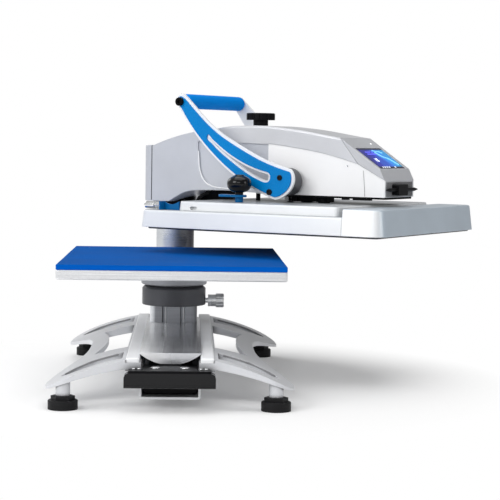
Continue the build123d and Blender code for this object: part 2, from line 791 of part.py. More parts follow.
# Head beam: the inner weldment that carries the shaft, the guide rods and the nose
beam_front = 517.0
beam_floor = 351.0
cheek_inner = 24.0
cheek_outer = 36.0
guide_rods_at = [(rod_rear_x, rod_y), (rod_front_x, -rod_y)]
with BuildPart() as head_beam:
    with BuildSketch(level(beam_floor)) as beam_base:
        with Locations(((beam_back + beam_front) / 2, 0)):
            Rectangle(beam_front - beam_back, 2 * beam_half)
        with Locations(((housing_front + 1 + 505) / 2, 0)):
            Rectangle(505 - housing_front - 1, 2 * (housing_half - 4))
    extrude(amount=6)
    for cheek_y in (cheek_outer, -cheek_inner):
        with BuildSketch(side(cheek_y)) as cheek:
            with BuildLine():
                Polyline((beam_back, beam_floor), (430, beam_floor), (430, 372), (400, 418),
                         (350, 438), (beam_back, 438), close=True)
            make_face()
        extrude(amount=cheek_inner - cheek_outer)
    with BuildSketch(across(beam_back)) as beam_end:
        with Locations((0, (beam_floor + 438) / 2)):
            Rectangle(2 * beam_half, 438 - beam_floor)
    extrude(amount=7)
    with BuildSketch(level(beam_floor)) as guide_bosses:
        with Locations(*guide_rods_at):
            Circle(11.5)
    extrude(amount=34)
    with BuildSketch(level(beam_floor)) as guide_bores:
        with Locations(*guide_rods_at):
            Circle(rod_radius + run_fit)
    extrude(amount=100, mode=Mode.SUBTRACT)
    with BuildSketch(level(beam_floor)) as cam_slot:
        with Locations((cam_slot_x, 0)):
            Rectangle(cam_slot_long, 34)
    extrude(amount=6, mode=Mode.SUBTRACT)
    with BuildSketch(side()) as shaft_bore:
        with Locations((shaft_x, shaft_z)):
            Circle(shaft_radius + run_fit)
    extrude(amount=cheek_outer, both=True, mode=Mode.SUBTRACT)
save(head_beam, "head_beam")

# Swing handle: a short cross bar on a block, to push the head round by
bar_x = 529.5
bar_z = 366.0
with BuildPart() as swing_handle:
    with BuildSketch(across(panel_front)) as handle_block:
        with Locations((-12.5, bar_z)):
            RectangleRounded(39, 21, 3)
    extrude(amount=15)
    with BuildSketch(level(bar_z)) as bar_half_plan:
        with BuildLine():
            Polyline((bar_x, -72), (bar_x + 1.2, -72), (bar_x + 3.5, -58), (bar_x + 3.5, 48),
                     (bar_x + 1.2, 62), (bar_x, 62), close=True)
        make_face()
    revolve(axis=Axis(post_axis + head_dir * bar_x + Vector(0, 0, bar_z), near_dir))
save(swing_handle, "swing_handle")

# Power inlet on the far side of the housing, with the switch's frame above it
with BuildPart() as power_inlet:
    far_face = side(-housing_half)
    with BuildSketch(far_face) as inlet_flange:
        with Locations((inlet_x, (inlet_z + switch_z) / 2 - 3)):
            RectangleRounded(34, 82, 4)
    extrude(amount=-3)
    with BuildSketch(side(-housing_half - 3)) as inlet_opening:
        with Locations((inlet_x, inlet_z)):
            Rectangle(25, 20)
        chamfer(inlet_opening.vertices().group_by(Axis.Y)[-1], 5)
    extrude(amount=2.4, mode=Mode.SUBTRACT)
    with BuildSketch(side(-housing_half - 0.6)) as inlet_pins:
        with Locations((inlet_x, inlet_z + 2), (inlet_x - 7, inlet_z - 3), (inlet_x + 7, inlet_z - 3)):
            Rectangle(2, 4)
    extrude(amount=-2)
    with BuildSketch(side(-housing_half - 3)) as switch_frame:
        with Locations((inlet_x, switch_z)):
            Rectangle(15, 22)
    extrude(amount=3, mode=Mode.SUBTRACT)
    with BuildSketch(across(inlet_x - 9)) as pivot_bore:
        with Locations((pivot_far, switch_z)):
            Circle(pivot_radius + run_fit)
    extrude(amount=18, mode=Mode.SUBTRACT)
save(power_inlet, "power_inlet")

# Rocker switch: rocks on two pins in the frame above the inlet
with BuildPart() as rocker_switch:
    rocker_out = Vector(0, 0, sin(rocker_rest)) - near_dir * cos(rocker_rest)
    rocker_plane = Plane(origin=post_axis + head_dir * (inlet_x - 7) - near_dir * pivot_far
                         + Vector(0, 0, switch_z), x_dir=rocker_out, z_dir=head_dir)
    with BuildSketch(rocker_plane) as rocker_profile:
        with BuildLine():
            Polyline((-3, 9.3), (0, 10.2), (3.6, 10), (2.4, 0), (3.6, -10), (0, -10.2),
                     (-3, -9.3), close=True)
        make_face()
    extrude(amount=14)
    with BuildSketch(rocker_plane.offset(-1.3)) as pin_round:
        Circle(pivot_radius)
    extrude(amount=16.6)
save(rocker_switch, "rocker_switch")

# Pressure knob: a fluted disc on a spindle that runs down into the housing
with BuildPart() as pressure_knob:
    with BuildSketch(level(498)) as knob_disc:
        with Locations((knob_x, 0)):
            Circle(29)
            with PolarLocations(30.5, 12):
                Circle(3.6, mode=Mode.SUBTRACT)
    extrude(amount=14)
    chamfer(pressure_knob.edges().group_by(Axis.Z)[-1], 1.5)
    with BuildSketch(level(487)) as knob_neck:
        with Locations((knob_x, 0)):
            Circle(15)
    extrude(amount=11)
    with BuildSketch(level(406)) as knob_spindle:
        with Locations((knob_x, 0)):
            Circle(9)
    extrude(amount=81)
save(pressure_knob, "pressure_knob")

# Handle arms: two tapering curved plates, each with a long curved slot
arm_upper = [(92, 547), (104, 536), (129, 512), (177, 473), (225, 446), (271, 424),
             (317, 408), (340, 402)]
arm_tip = [(347, 392), (347, 373), (330, 351), (307, 342)]
arm_lower = [(284, 350), (261, 360), (202, 394), (154, 433), (105, 486), (85, 514), (74, 530)]
slot_upper = [(151, 463), (187, 435), (225, 413), (260, 399), (290, 391)]
slot_lower = [(284, 379), (249, 393), (214, 414), (178, 439), (151, 463)]
arm_bolts = [(317, 385), (295, 361)]
arm_outer = arm_inner + arm_thick


with BuildSketch() as arm_outline:
    with BuildLine():
        top = Spline(arm_upper)
        tip = Spline([top @ 1] + arm_tip)
        under = Spline([tip @ 1] + arm_lower)
        ThreePointArc(under @ 1, (77, 544), top @ 0)
    make_face()

with BuildSketch() as arm_slot:
    with BuildLine():
        slot_top = Spline(slot_upper)
        ThreePointArc(slot_top @ 1, (293, 383), (284, 379))
        Spline(slot_lower)
    make_face()


def offset_points(sketch, amount, count):
    """Points evenly spaced along a sketch's outline, moved out by amount."""
    moved = sketch.sketch.face().outer_wire().offset_2d(amount)
    return [moved @ (i / count) for i in range(count)]


with BuildSketch() as inlay_outline:
    with BuildLine():
        Spline(offset_points(arm_outline, -5, 48), periodic=True)
    make_face()
    with BuildLine():
        Spline(offset_points(arm_slot, 4, 32), periodic=True)
    make_face(mode=Mode.SUBTRACT)


def handle_arm(low_y, label):
    """One arm: a plate whose lower face, seen from the far side, is at low_y."""
    with BuildPart() as arm:
        with BuildSketch(side(low_y)) as arm_plan:
            add(arm_outline.sketch)
            add(arm_slot.sketch, mode=Mode.SUBTRACT)
        extrude(amount=arm_thick)
    save(arm, label)


handle_arm(arm_inner, "near_arm")
handle_arm(-arm_outer, "far_arm")

# Arm inlays: the coloured covers on both arms' outer faces, inset all round
with BuildPart() as arm_inlays:
    for inlay_y in (arm_outer, -arm_outer - inlay_thick):
        with BuildSketch(side(inlay_y)) as inlay_plan:
            add(inlay_outline.sketch)
        extrude(amount=inlay_thick)
save(arm_inlays, "arm_inlays")

# Arm hubs: the two spacers between the arms and the head, fixed on the shaft
with BuildPart() as arm_hubs:
    for hub_y in (75.0, -arm_inner):
        with BuildSketch(side(hub_y)) as hub_ring:
            with Locations((321, 377)):
                Circle(27)
            with Locations((shaft_x, shaft_z)):
                Circle(shaft_radius, mode=Mode.SUBTRACT)
        extrude(amount=arm_inner - 75)
save(arm_hubs, "arm_hubs")

# Cross shaft: turns in the beam's cheeks and carries the arms
with BuildPart() as cross_shaft:
    with BuildSketch(side()) as shaft_circle:
        with Locations((shaft_x, shaft_z)):
            Circle(shaft_radius)
    extrude(amount=arm_inner, both=True)
save(cross_shaft, "cross_shaft")

# Press cam: its working edge is the involute of a circle, so that each degree of handle
# turn lowers the flat shoe by the same amount
cam_half = 12.0
cam_rise = press_travel / radians(handle_turn)
cam_start = 16.0


def cam_point(turn):
    """A point of the working edge: contact height is cam_start plus rise times turn."""
    height = cam_start + cam_rise * turn
    facing = turn - pi / 2
    return (shaft_x + height * cos(facing) - cam_rise * sin(facing),
            shaft_z + height * sin(facing) + cam_rise * cos(facing))


with BuildPart() as press_cam:
    cam_end = radians(handle_turn + 8)
    back_angle = radians(118)
    with BuildSketch(side()) as cam_plan:
        with BuildLine():
            cam_edge = Spline([cam_point(cam_end * i / 12) for i in range(13)])
            back_point = (shaft_x + cam_start * cos(back_angle),
                          shaft_z + cam_start * sin(back_angle))
            Line(cam_edge @ 1, back_point)
            ThreePointArc(back_point, (shaft_x - cam_start, shaft_z),
                          (shaft_x, shaft_z - cam_start))
            Line((shaft_x, shaft_z - cam_start), cam_edge @ 0)
        make_face()
        with Locations((shaft_x, shaft_z)):
            Circle(shaft_radius, mode=Mode.SUBTRACT)
    extrude(amount=cam_half, both=True)
save(press_cam, "press_cam")

# Grip: the cross bar between the arms' upper ends, fluted for the hand
with BuildPart() as grip:
    with BuildSketch(side()) as grip_round:
        with Locations((grip_x, grip_z)):
            Circle(grip_radius)
            with PolarLocations(grip_radius + 0.4, 24):
                Circle(1.1, mode=Mode.SUBTRACT)
    extrude(amount=arm_inner - 8, both=True)
    with BuildSketch(side()) as grip_core:
        with Locations((grip_x, grip_z)):
            Circle(grip_radius - 1.5)
    extrude(amount=arm_inner, both=True)
save(grip, "grip")

# Grip bolts: one through each arm into the grip
with BuildPart() as grip_bolts:
    for bolt_y in (arm_outer + inlay_thick, -arm_outer - inlay_thick - 6):
        with BuildSketch(side(bolt_y)) as bolt_head:
            with Locations((grip_x - 5, grip_z - 1)):
                Circle(8.5)
        extrude(amount=6)
    with BuildSketch(side(arm_outer + inlay_thick + 6)) as near_socket:
        with Locations((grip_x - 5, grip_z - 1)):
            RegularPolygon(4, 6)
    extrude(amount=-4, mode=Mode.SUBTRACT)
    with BuildSketch(side(-arm_outer - inlay_thick - 6)) as far_socket:
        with Locations((grip_x - 5, grip_z - 1)):
            RegularPolygon(4, 6)
    extrude(amount=4, mode=Mode.SUBTRACT)
save(grip_bolts, "grip_bolts")

# Heat platen: the thick heated plate, with softened edges
with BuildPart() as heat_platen:
    with BuildSketch(level(heat_bottom)) as heat_plan:
        with Locations(((heat_front + heat_back) / 2, 0)):
            RectangleRounded(heat_front - heat_back, platen_width, 5)
    extrude(amount=heat_thick)
    chamfer(heat_platen.edges().group_by(Axis.Z)[0], 1.5)
save(heat_platen, "heat_platen")

# Insulation: the board that lies on the heat platen, under the casing
heat_top = heat_bottom + heat_thick
with BuildPart() as insulation:
    with BuildSketch(level(heat_top)) as board:
        with Locations(((heat_front + heat_back) / 2, 0)):
            RectangleRounded(heat_front - heat_back - 8, platen_width - 8, 20)
    extrude(amount=case_top - case_wall - heat_top)
save(insulation, "insulation")

# Casing: a long rear cover and a taller front cap that meet at a seam
case_mid = (case_back + case_front) / 2
rear_corner = 12.0
front_corner = 30.0


def casing_shell(top, low_x, high_x, corner, label):
    """The part of the casing between low_x and high_x: tapered walls and a flat top."""
    with BuildPart() as casing:
        with BuildSketch(level(case_bottom)) as case_plan:
            with Locations((case_mid, 0)):
                RectangleRounded(case_front - case_back, 2 * case_half, corner)
        extrude(amount=top - case_bottom, taper=case_draft)
        fillet(casing.edges().group_by(Axis.Z)[-1], 4)
        with BuildSketch(level(case_bottom)) as case_inside:
            with Locations((case_mid, 0)):
                RectangleRounded(case_front - case_back - 2 * case_wall,
                                 2 * (case_half - case_wall), corner - case_wall)
        extrude(amount=top - case_wall - case_bottom, taper=case_draft, mode=Mode.SUBTRACT)
        with BuildSketch(level(case_bottom - 1)) as case_range:
            with Locations(((low_x + high_x) / 2, 0)):
                Rectangle(high_x - low_x, 2 * case_half + 2)
        extrude(amount=top - case_bottom + 2, mode=Mode.INTERSECT)
    save(casing, label)


casing_shell(case_top, case_back, case_seam - seat_gap, rear_corner, "casing_side")
casing_shell(case_front_top, case_seam, case_front, front_corner, "casing_front")

# Casing deck: the raised panel on the casing's rear cover
with BuildPart() as casing_deck:
    with BuildSketch(level(case_top)) as deck_plan:
        with Locations(((deck_front + deck_back) / 2, 0)):
            RectangleRounded(deck_front - deck_back, 2 * deck_half, 10)
    extrude(amount=deck_top - case_top, taper=case_draft)
    fillet(casing_deck.edges().group_by(Axis.Z)[-1], 3)
    with BuildSketch(side(deck_half + 1)) as side_slot:
        with Locations((173, 323)):
            SlotOverall(16, 6)
    extrude(amount=-9, mode=Mode.SUBTRACT)
save(casing_deck, "casing_deck")

# Guide rods: keep the heat platen level as it moves, with a stop collar on the front one
with BuildPart() as guide_rods:
    with BuildSketch(level(deck_top)) as rod_plan:
        with Locations(*guide_rods_at):
            Circle(rod_radius)
    extrude(amount=100)
    with BuildSketch(level(deck_top)) as stop_plan:
        with Locations(guide_rods_at[1]):
            Circle(11.5)
    extrude(amount=10)
save(guide_rods, "guide_rods")

# Ram: the column on the casing deck, topped by the flat shoe that the cam presses
shoe_top = shaft_z - cam_start - seat_gap
with BuildPart() as ram:
    with BuildSketch(level(deck_top)) as ram_round:
        with Locations((shaft_x, 0)):
            Circle(ram_radius)
    extrude(amount=shoe_top - deck_top)
    with BuildSketch(level(shoe_top - 8)) as shoe:
        with Locations((shaft_x, 0)):
            RectangleRounded(56, 28, 2)
    extrude(amount=8)
save(ram, "ram")

# Near bracket: a folded plate on the casing behind the deck, with a tab at its end
bracket_y = 190.0
bracket_back = 100.0
bracket_high = 335.0
tab_y = 196.5
with BuildPart() as near_bracket:
    with BuildSketch(level(case_top)) as bracket_base:
        with Locations(((bracket_back + deck_back) / 2, -bracket_y + 15)):
            Rectangle(deck_back - seat_gap - bracket_back, 30)
    extrude(amount=3)
    with BuildSketch(side(bracket_y)) as bracket_wall:
        with BuildLine():
            rim = Spline([(bracket_back, bracket_high), (116, 329),
                          (deck_back - 0.5, bracket_high)])
            Polyline(rim @ 1, (deck_back - 0.5, case_top), (bracket_back, case_top), rim @ 0)
        make_face()
    extrude(amount=-3)
    with BuildSketch(across(bracket_back)) as bracket_tab:
        with Locations((-tab_y, (case_top + bracket_high) / 2)):
            Rectangle(19, bracket_high - case_top)
    extrude(amount=3)
save(near_bracket, "near_bracket")

# Casing fasteners: the bolt at the bracket's tab, with its nut and a domed cap
with BuildPart() as casing_fasteners:
    bolt_place = (-tab_y - 1.5, 327)
    with BuildSketch(across(89.0)) as tab_nut:
        with Locations(bolt_place):
            RegularPolygon(8, 6)
    extrude(amount=bracket_back - 89)
    with BuildSketch(across(84.0)) as tab_stud:
        with Locations(bolt_place):
            Circle(4)
    extrude(amount=6)
    with BuildSketch(across(62.0)) as cap_round:
        with Locations(bolt_place):
            Circle(7.5)
    extrude(amount=24)
    fillet(casing_fasteners.edges().sort_by(lambda e: e.center().dot(head_dir))[0], 5)
save(casing_fasteners, "casing_fasteners")

# Knob tab: the small plate that the ball knob stands on, and the boss under it
ball_x = 247.0
ball_y = 145.0
tab_low = 346.0
with BuildPart() as knob_tab:
    with BuildSketch(level(deck_top)) as tab_boss:
        with Locations((ball_x, -ball_y)):
            Circle(8)
    extrude(amount=tab_low - deck_top)
    with BuildSketch(level(tab_low)) as tab_plan:
        with Locations((232, -ball_y)):
            SlotOverall(60, 26)
    extrude(amount=4.5)
    chamfer(knob_tab.edges().group_by(Axis.Z)[-1], 0.8)
save(knob_tab, "knob_tab")

# Ball knob: a flattened ball on a short neck
ball_low = tab_low + 4.5
with BuildPart() as ball_knob:
    with BuildSketch(side(ball_y)) as ball_half:
        with BuildLine():
            neck = Polyline((ball_x, ball_low), (ball_x + 8, ball_low), (ball_x + 8, 355))
            lobe = Spline([neck @ 1, (ball_x + 18, 359.3), (ball_x + 24, 371.5),
                           (ball_x + 18, 383.7), (ball_x + 9, 388.7), (ball_x, 390)],
                          tangents=[(1, 0.25), (-1, 0)])
            Line(lobe @ 1, neck @ 0)
        make_face()
    knob_axis = post_axis + head_dir * ball_x + near_dir * ball_y
    revolve(axis=Axis(knob_axis, (0, 0, 1)))
save(ball_knob, "ball_knob")

# Conduits: the heater lead, which runs up into the housing, and a thinner sensor lead
lead_radius = 3.5
lead_bend = 22.0
lead_x = 79.0
with BuildPart() as conduits:
    with BuildLine() as lead_path:
        lead_points = [(lead_x, 318), (lead_x, 335), (pocket_x, 358), (pocket_x, 408)]
        FilletPolyline(*[side(pocket_y).from_local_coords((x, z, 0)) for x, z in lead_points],
                       radius=lead_bend)
    with BuildSketch(Plane(origin=lead_path.line @ 0, z_dir=(0, 0, 1))) as lead_round:
        Circle(lead_radius)
    sweep()
    with BuildSketch(level(deck_top)) as sensor_round:
        with Locations((cable_x, -cable_y)):
            Circle(4.5)
    extrude(amount=60)
save(conduits, "conduits")
print("lead bend radius", lead_bend, "mm,", round(lead_bend / lead_radius / 2, 2), "diameters")
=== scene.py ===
import json
import math

import bmesh
import bpy
from mathutils import Matrix, Vector


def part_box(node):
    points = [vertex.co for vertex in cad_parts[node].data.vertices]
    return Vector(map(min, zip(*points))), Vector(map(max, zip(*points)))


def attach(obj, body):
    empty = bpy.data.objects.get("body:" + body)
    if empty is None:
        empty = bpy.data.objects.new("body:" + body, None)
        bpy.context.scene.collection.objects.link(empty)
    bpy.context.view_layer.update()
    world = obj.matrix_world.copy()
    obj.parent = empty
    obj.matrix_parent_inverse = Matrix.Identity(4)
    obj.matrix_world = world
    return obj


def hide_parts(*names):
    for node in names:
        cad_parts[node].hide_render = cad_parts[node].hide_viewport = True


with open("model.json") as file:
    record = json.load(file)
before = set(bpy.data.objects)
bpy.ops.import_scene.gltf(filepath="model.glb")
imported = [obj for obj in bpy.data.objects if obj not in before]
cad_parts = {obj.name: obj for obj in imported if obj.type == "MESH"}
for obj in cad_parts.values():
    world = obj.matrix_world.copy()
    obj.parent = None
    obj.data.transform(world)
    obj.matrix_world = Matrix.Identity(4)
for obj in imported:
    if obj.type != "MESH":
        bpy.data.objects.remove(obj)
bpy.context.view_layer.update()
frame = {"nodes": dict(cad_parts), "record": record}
nodes = frame["nodes"]

# ---------------------------------------------------------------------------------------
# Places. The head is drawn along its own axis: x forward from the post, y to its near
# side, z up, all in millimetres.
MM = 0.001
POST_Y = 343.0
swing = math.radians(56.4)
head_dir = Vector((math.sin(swing), -math.cos(swing), 0))
near_dir = Vector((-math.cos(swing), -math.sin(swing), 0))
far_dir = -near_dir
up = Vector((0, 0, 1))


def head_point(x, y, z):
    """A point of the head, in metres in the row frame."""
    return (Vector((0, POST_Y, 0)) + head_dir * x + near_dir * y + up * z) * MM


# The display: its size, the run and drop of its slope, the way it faces and rises, its middle
SCREEN_LONG, SCREEN_HIGH = 106.0, 68.0
SLOPE_RUN, SLOPE_DROP = 87.1, 58.9
screen_out = (head_dir * SLOPE_DROP + up * SLOPE_RUN).normalized()
screen_up = (up * SLOPE_DROP - head_dir * SLOPE_RUN).normalized()
screen_middle = head_point(480.1, 2, 425.5)


def base_point(x, y, z):
    """A point of the base, in metres in the row frame."""
    return Vector((x, y, z)) * MM


# ---------------------------------------------------------------------------------------
# Camera, in metres and degrees; the focal length is in pixels of the square picture
CAMERA_PLACE = (0.0294, -3.0722, 0.4533)
CAMERA_YAW, CAMERA_PITCH, CAMERA_ROLL = 2.155, 3.806, 0.864
FOCAL_PIXELS, PICTURE_PIXELS, SENSOR_WIDTH = 1623.62, 500.0, 36.0


def make_camera():
    """The camera that sees the press as the picture does."""
    yaw, pitch, roll = (math.radians(a) for a in (CAMERA_YAW, CAMERA_PITCH, CAMERA_ROLL))
    look = Vector((math.sin(yaw) * math.cos(pitch), math.cos(yaw) * math.cos(pitch),
                   -math.sin(pitch)))
    level_right = Vector((math.cos(yaw), -math.sin(yaw), 0))
    level_up = level_right.cross(look)
    right = level_right * math.cos(roll) + level_up * math.sin(roll)
    top = -level_right * math.sin(roll) + level_up * math.cos(roll)
    camera_data = bpy.data.cameras.new("camera")
    camera_data.sensor_width = SENSOR_WIDTH
    camera_data.sensor_fit = "HORIZONTAL"
    camera_data.lens = SENSOR_WIDTH * FOCAL_PIXELS / PICTURE_PIXELS
    camera_data.clip_end = 50.0
    camera = bpy.data.objects.new("camera", camera_data)
    turn = Matrix((right, top, -look)).transposed().to_4x4()
    camera.matrix_world = Matrix.Translation(CAMERA_PLACE) @ turn
    bpy.context.scene.collection.objects.link(camera)
    bpy.context.scene.camera = camera


# ---------------------------------------------------------------------------------------
# Shader helpers
def node(mat, kind, **settings):
    """A new shader node with the given attributes."""
    made = mat.node_tree.nodes.new(kind)
    for key, value in settings.items():
        setattr(made, key, value)
    return made


def wire(mat, source, target):
    """Links a socket to another one."""
    mat.node_tree.links.new(source, target)


def shader_of(mat):
    """The material's main shader."""
    return mat.node_tree.nodes["Principled BSDF"]


def new_material(name, colour, roughness, metallic=0.0, coat=0.0, specular=0.5):
    """A plain material, for the functions below to build on."""
    mat = bpy.data.materials.new(name)
    mat.use_nodes = True
    shader = shader_of(mat)
    shader.inputs["Base Color"].default_value = (*colour, 1.0)
    shader.inputs["Roughness"].default_value = roughness
    shader.inputs["Metallic"].default_value = metallic
    shader.inputs["Coat Weight"].default_value = coat
    shader.inputs["Coat Roughness"].default_value = 0.08
    shader.inputs["Specular IOR Level"].default_value = specular
    mat.diffuse_color = (*colour, 1.0)
    return mat


def coordinates(mat, scale=(1, 1, 1)):
    """Object coordinates, in metres, scaled along each axis."""
    place = node(mat, "ShaderNodeTexCoord")
    mapping = node(mat, "ShaderNodeMapping", vector_type="TEXTURE")
    mapping.inputs["Scale"].default_value = [1.0 / s for s in scale]
    wire(mat, place.outputs["Object"], mapping.inputs["Vector"])
    return mapping.outputs["Vector"]


def noise(mat, vector, scale, detail=4.0, roughness=0.55):
    """A noise value, mostly between 0.3 and 0.7."""
    made = node(mat, "ShaderNodeTexNoise")
    made.inputs["Scale"].default_value = scale
    made.inputs["Detail"].default_value = detail
    made.inputs["Roughness"].default_value = roughness
    wire(mat, vector, made.inputs["Vector"])
    return made.outputs["Fac"]


def spread(mat, value, low, high, from_low=0.3, from_high=0.7):
    """A value stretched to run from low to high."""
    made = node(mat, "ShaderNodeMapRange")
    made.inputs["From Min"].default_value = from_low
    made.inputs["From Max"].default_value = from_high
    made.inputs["To Min"].default_value = low
    made.inputs["To Max"].default_value = high
    wire(mat, value, made.inputs["Value"])
    return made.outputs["Result"]


def tinted(mat, value, dark, light):
    """Base colour that runs from dark to light with the value."""
    mix = node(mat, "ShaderNodeMix", data_type="RGBA")
    mix.inputs["A"].default_value = (*dark, 1.0)
    mix.inputs["B"].default_value = (*light, 1.0)
    wire(mat, value, mix.inputs["Factor"])
    return mix.outputs["Result"]


def scaled(colour, factor):
    """The colour, brighter or darker by the factor."""
    return tuple(min(1.0, c * factor) for c in colour)


def finish_normal(mat, height, strength, distance, bevel=0.0):
    """Bump from a height, over edges softened by the bevel radius in metres."""
    shader = shader_of(mat)
    soft = None
    if bevel:
        soft = node(mat, "ShaderNodeBevel", samples=6)
        soft.inputs["Radius"].default_value = bevel
    if height is None:
        if soft:
            wire(mat, soft.outputs["Normal"], shader.inputs["Normal"])
        return
    bump = node(mat, "ShaderNodeBump")
    bump.inputs["Strength"].default_value = strength
    bump.inputs["Distance"].default_value = distance
    wire(mat, height, bump.inputs["Height"])
    if soft:
        wire(mat, soft.outputs["Normal"], bump.inputs["Normal"])
    wire(mat, bump.outputs["Normal"], shader.inputs["Normal"])


def edge_mask(mat, radius):
    """1 near sharp edges and 0 on flat faces, from how far a bevel bends the normal."""
    soft = node(mat, "ShaderNodeBevel", samples=6)
    soft.inputs["Radius"].default_value = radius
    geometry = node(mat, "ShaderNodeNewGeometry")
    dot = node(mat, "ShaderNodeVectorMath", operation="DOT_PRODUCT")
    wire(mat, soft.outputs["Normal"], dot.inputs[0])
    wire(mat, geometry.outputs["Normal"], dot.inputs[1])
    return spread(mat, dot.outputs["Value"], 1.0, 0.0, 0.86, 0.995)


# ---------------------------------------------------------------------------------------
# Materials
def painted_crevice_shade(mat, colour, reach, darkest):
    """Painted shade: the colour, darker where the surface lies deep between others."""
    hidden = node(mat, "ShaderNodeAmbientOcclusion", samples=8)
    hidden.inputs["Distance"].default_value = reach
    shade = node(mat, "ShaderNodeMix", data_type="RGBA", blend_type="MULTIPLY")
    shade.inputs["Factor"].default_value = 1.0
    wire(mat, colour, shade.inputs["A"])
    wire(mat, spread(mat, hidden.outputs["AO"], darkest, 1.0, 0.42, 0.9), shade.inputs["B"])
    return shade.outputs["Result"]


def paint_light_by_facing(mat, direction, colour, from_low, from_high):
    """Painted light and shade: blends the base colour over to another one where the surface faces
    the direction.
    """
    target = shader_of(mat).inputs["Base Color"]
    geometry = node(mat, "ShaderNodeNewGeometry")
    dot = node(mat, "ShaderNodeVectorMath", operation="DOT_PRODUCT")
    dot.inputs[1].default_value = direction
    wire(mat, geometry.outputs["Normal"], dot.inputs[0])
    mix = node(mat, "ShaderNodeMix", data_type="RGBA")
    mix.inputs["B"].default_value = (*colour, 1.0)
    wire(mat, target.links[0].from_socket, mix.inputs["A"])
    wire(mat, spread(mat, dot.outputs["Value"], 0.0, 1.0, from_low, from_high),
         mix.inputs["Factor"])
    wire(mat, mix.outputs["Result"], target)


def paint_light_on_left(mat, colour, from_x, to_x, metal_left, metal_right):
    """Painted light on a bar: paler and less metallic along its left side."""
    shader = shader_of(mat)
    place = node(mat, "ShaderNodeTexCoord")
    split = node(mat, "ShaderNodeSeparateXYZ")
    wire(mat, place.outputs["Object"], split.inputs["Vector"])
    mix = node(mat, "ShaderNodeMix", data_type="RGBA")
    mix.inputs["A"].default_value = (*colour, 1.0)
    wire(mat, shader.inputs["Base Color"].links[0].from_socket, mix.inputs["B"])
    wire(mat, spread(mat, split.outputs["X"], 0.0, 1.0, from_x * MM, to_x * MM),
         mix.inputs["Factor"])
    wire(mat, mix.outputs["Result"], shader.inputs["Base Color"])
    wire(mat, spread(mat, split.outputs["X"], metal_left, metal_right, from_x * MM, to_x * MM),
         shader.inputs["Metallic"])


def metallic_paint(name, colour, roughness=0.38, metallic=0.35, bevel=0.0012, worn_and_highlit=0.10,
                   painted_shade_reach=0.0):
    """Sprayed silver paint: fine flake, a slight orange peel, and paler edges, partly wear and
    partly painted highlight.
    """
    mat = new_material(name, colour, roughness, metallic, coat=0.15)
    place = coordinates(mat)
    cloud = noise(mat, place, 9.0)
    flake = noise(mat, place, 2600.0, 2.0)
    peel = noise(mat, place, 420.0, 3.0)
    base = tinted(mat, spread(mat, cloud, 0.0, 1.0), scaled(colour, 0.95), scaled(colour, 1.04))
    speckle = node(mat, "ShaderNodeMix", data_type="RGBA")
    speckle.inputs["B"].default_value = (*scaled(colour, 1.22), 1.0)
    wire(mat, base, speckle.inputs["A"])
    wire(mat, spread(mat, flake, 0.0, 0.35, 0.55, 0.75), speckle.inputs["Factor"])
    # Paler edges: partly real wear, partly painted highlight along every sharp edge
    edge_wear_and_highlight = node(mat, "ShaderNodeMix", data_type="RGBA")
    edge_wear_and_highlight.inputs["B"].default_value = (*scaled(colour, 1.3), 1.0)
    edge_wear_and_highlight_share = node(mat, "ShaderNodeMath", operation="MULTIPLY")
    edge_wear_and_highlight_share.inputs[1].default_value = worn_and_highlit * 3
    wire(mat, edge_mask(mat, 0.0015), edge_wear_and_highlight_share.inputs[0])
    wire(mat, speckle.outputs["Result"], edge_wear_and_highlight.inputs["A"])
    wire(mat, edge_wear_and_highlight_share.outputs["Value"], edge_wear_and_highlight.inputs["Factor"])
    skin = edge_wear_and_highlight.outputs["Result"]
    # Painted shade: the colour turns darker deep in slots and hollows
    if painted_shade_reach:
        skin = painted_crevice_shade(mat, skin, painted_shade_reach, 0.14)
    wire(mat, skin, shader_of(mat).inputs["Base Color"])
    wire(mat, spread(mat, cloud, roughness - 0.04, roughness + 0.05),
         shader_of(mat).inputs["Roughness"])
    finish_normal(mat, peel, 0.10, 0.0003, bevel)
    return mat


def brushed(name, colour, roughness, scale, strength=0.25, metallic=1.0):
    """Bare metal with fine streaks, long where the scale is small."""
    mat = new_material(name, colour, roughness, metallic)
    place = coordinates(mat, scale)
    streak = noise(mat, place, 1.0, 6.0, 0.7)
    cloud = noise(mat, coordinates(mat), 14.0)
    wire(mat, tinted(mat, spread(mat, streak, 0.0, 1.0), scaled(colour, 0.84), scaled(colour, 1.1)),
         shader_of(mat).inputs["Base Color"])
    total = node(mat, "ShaderNodeMath", operation="ADD")
    wire(mat, spread(mat, streak, -0.06, 0.06), total.inputs[0])
    wire(mat, spread(mat, cloud, roughness - 0.03, roughness + 0.05), total.inputs[1])
    wire(mat, total.outputs["Value"], shader_of(mat).inputs["Roughness"])
    finish_normal(mat, streak, strength, 0.0002, 0.0006)
    return mat


def moulded(name, colour, roughness, grain=1100.0, strength=0.18, coat=0.0, bevel=0.0010,
            drift=0.06, specular=0.16):
    """Moulded plastic or rubber: an even fine grain and a slight drift in tone."""
    mat = new_material(name, colour, roughness, coat=coat, specular=specular)
    place = coordinates(mat)
    cells = node(mat, "ShaderNodeTexVoronoi")
    cells.inputs["Scale"].default_value = grain
    wire(mat, place, cells.inputs["Vector"])
    cloud = noise(mat, place, 11.0)
    fine = noise(mat, place, grain * 0.6, 3.0)
    wire(mat, tinted(mat, spread(mat, cloud, 0.0, 1.0), scaled(colour, 1 - drift),
                     scaled(colour, 1 + drift)), shader_of(mat).inputs["Base Color"])
    wire(mat, spread(mat, fine, roughness - 0.03, roughness + 0.04),
         shader_of(mat).inputs["Roughness"])
    finish_normal(mat, cells.outputs["Distance"], strength, 0.0002, bevel)
    return mat


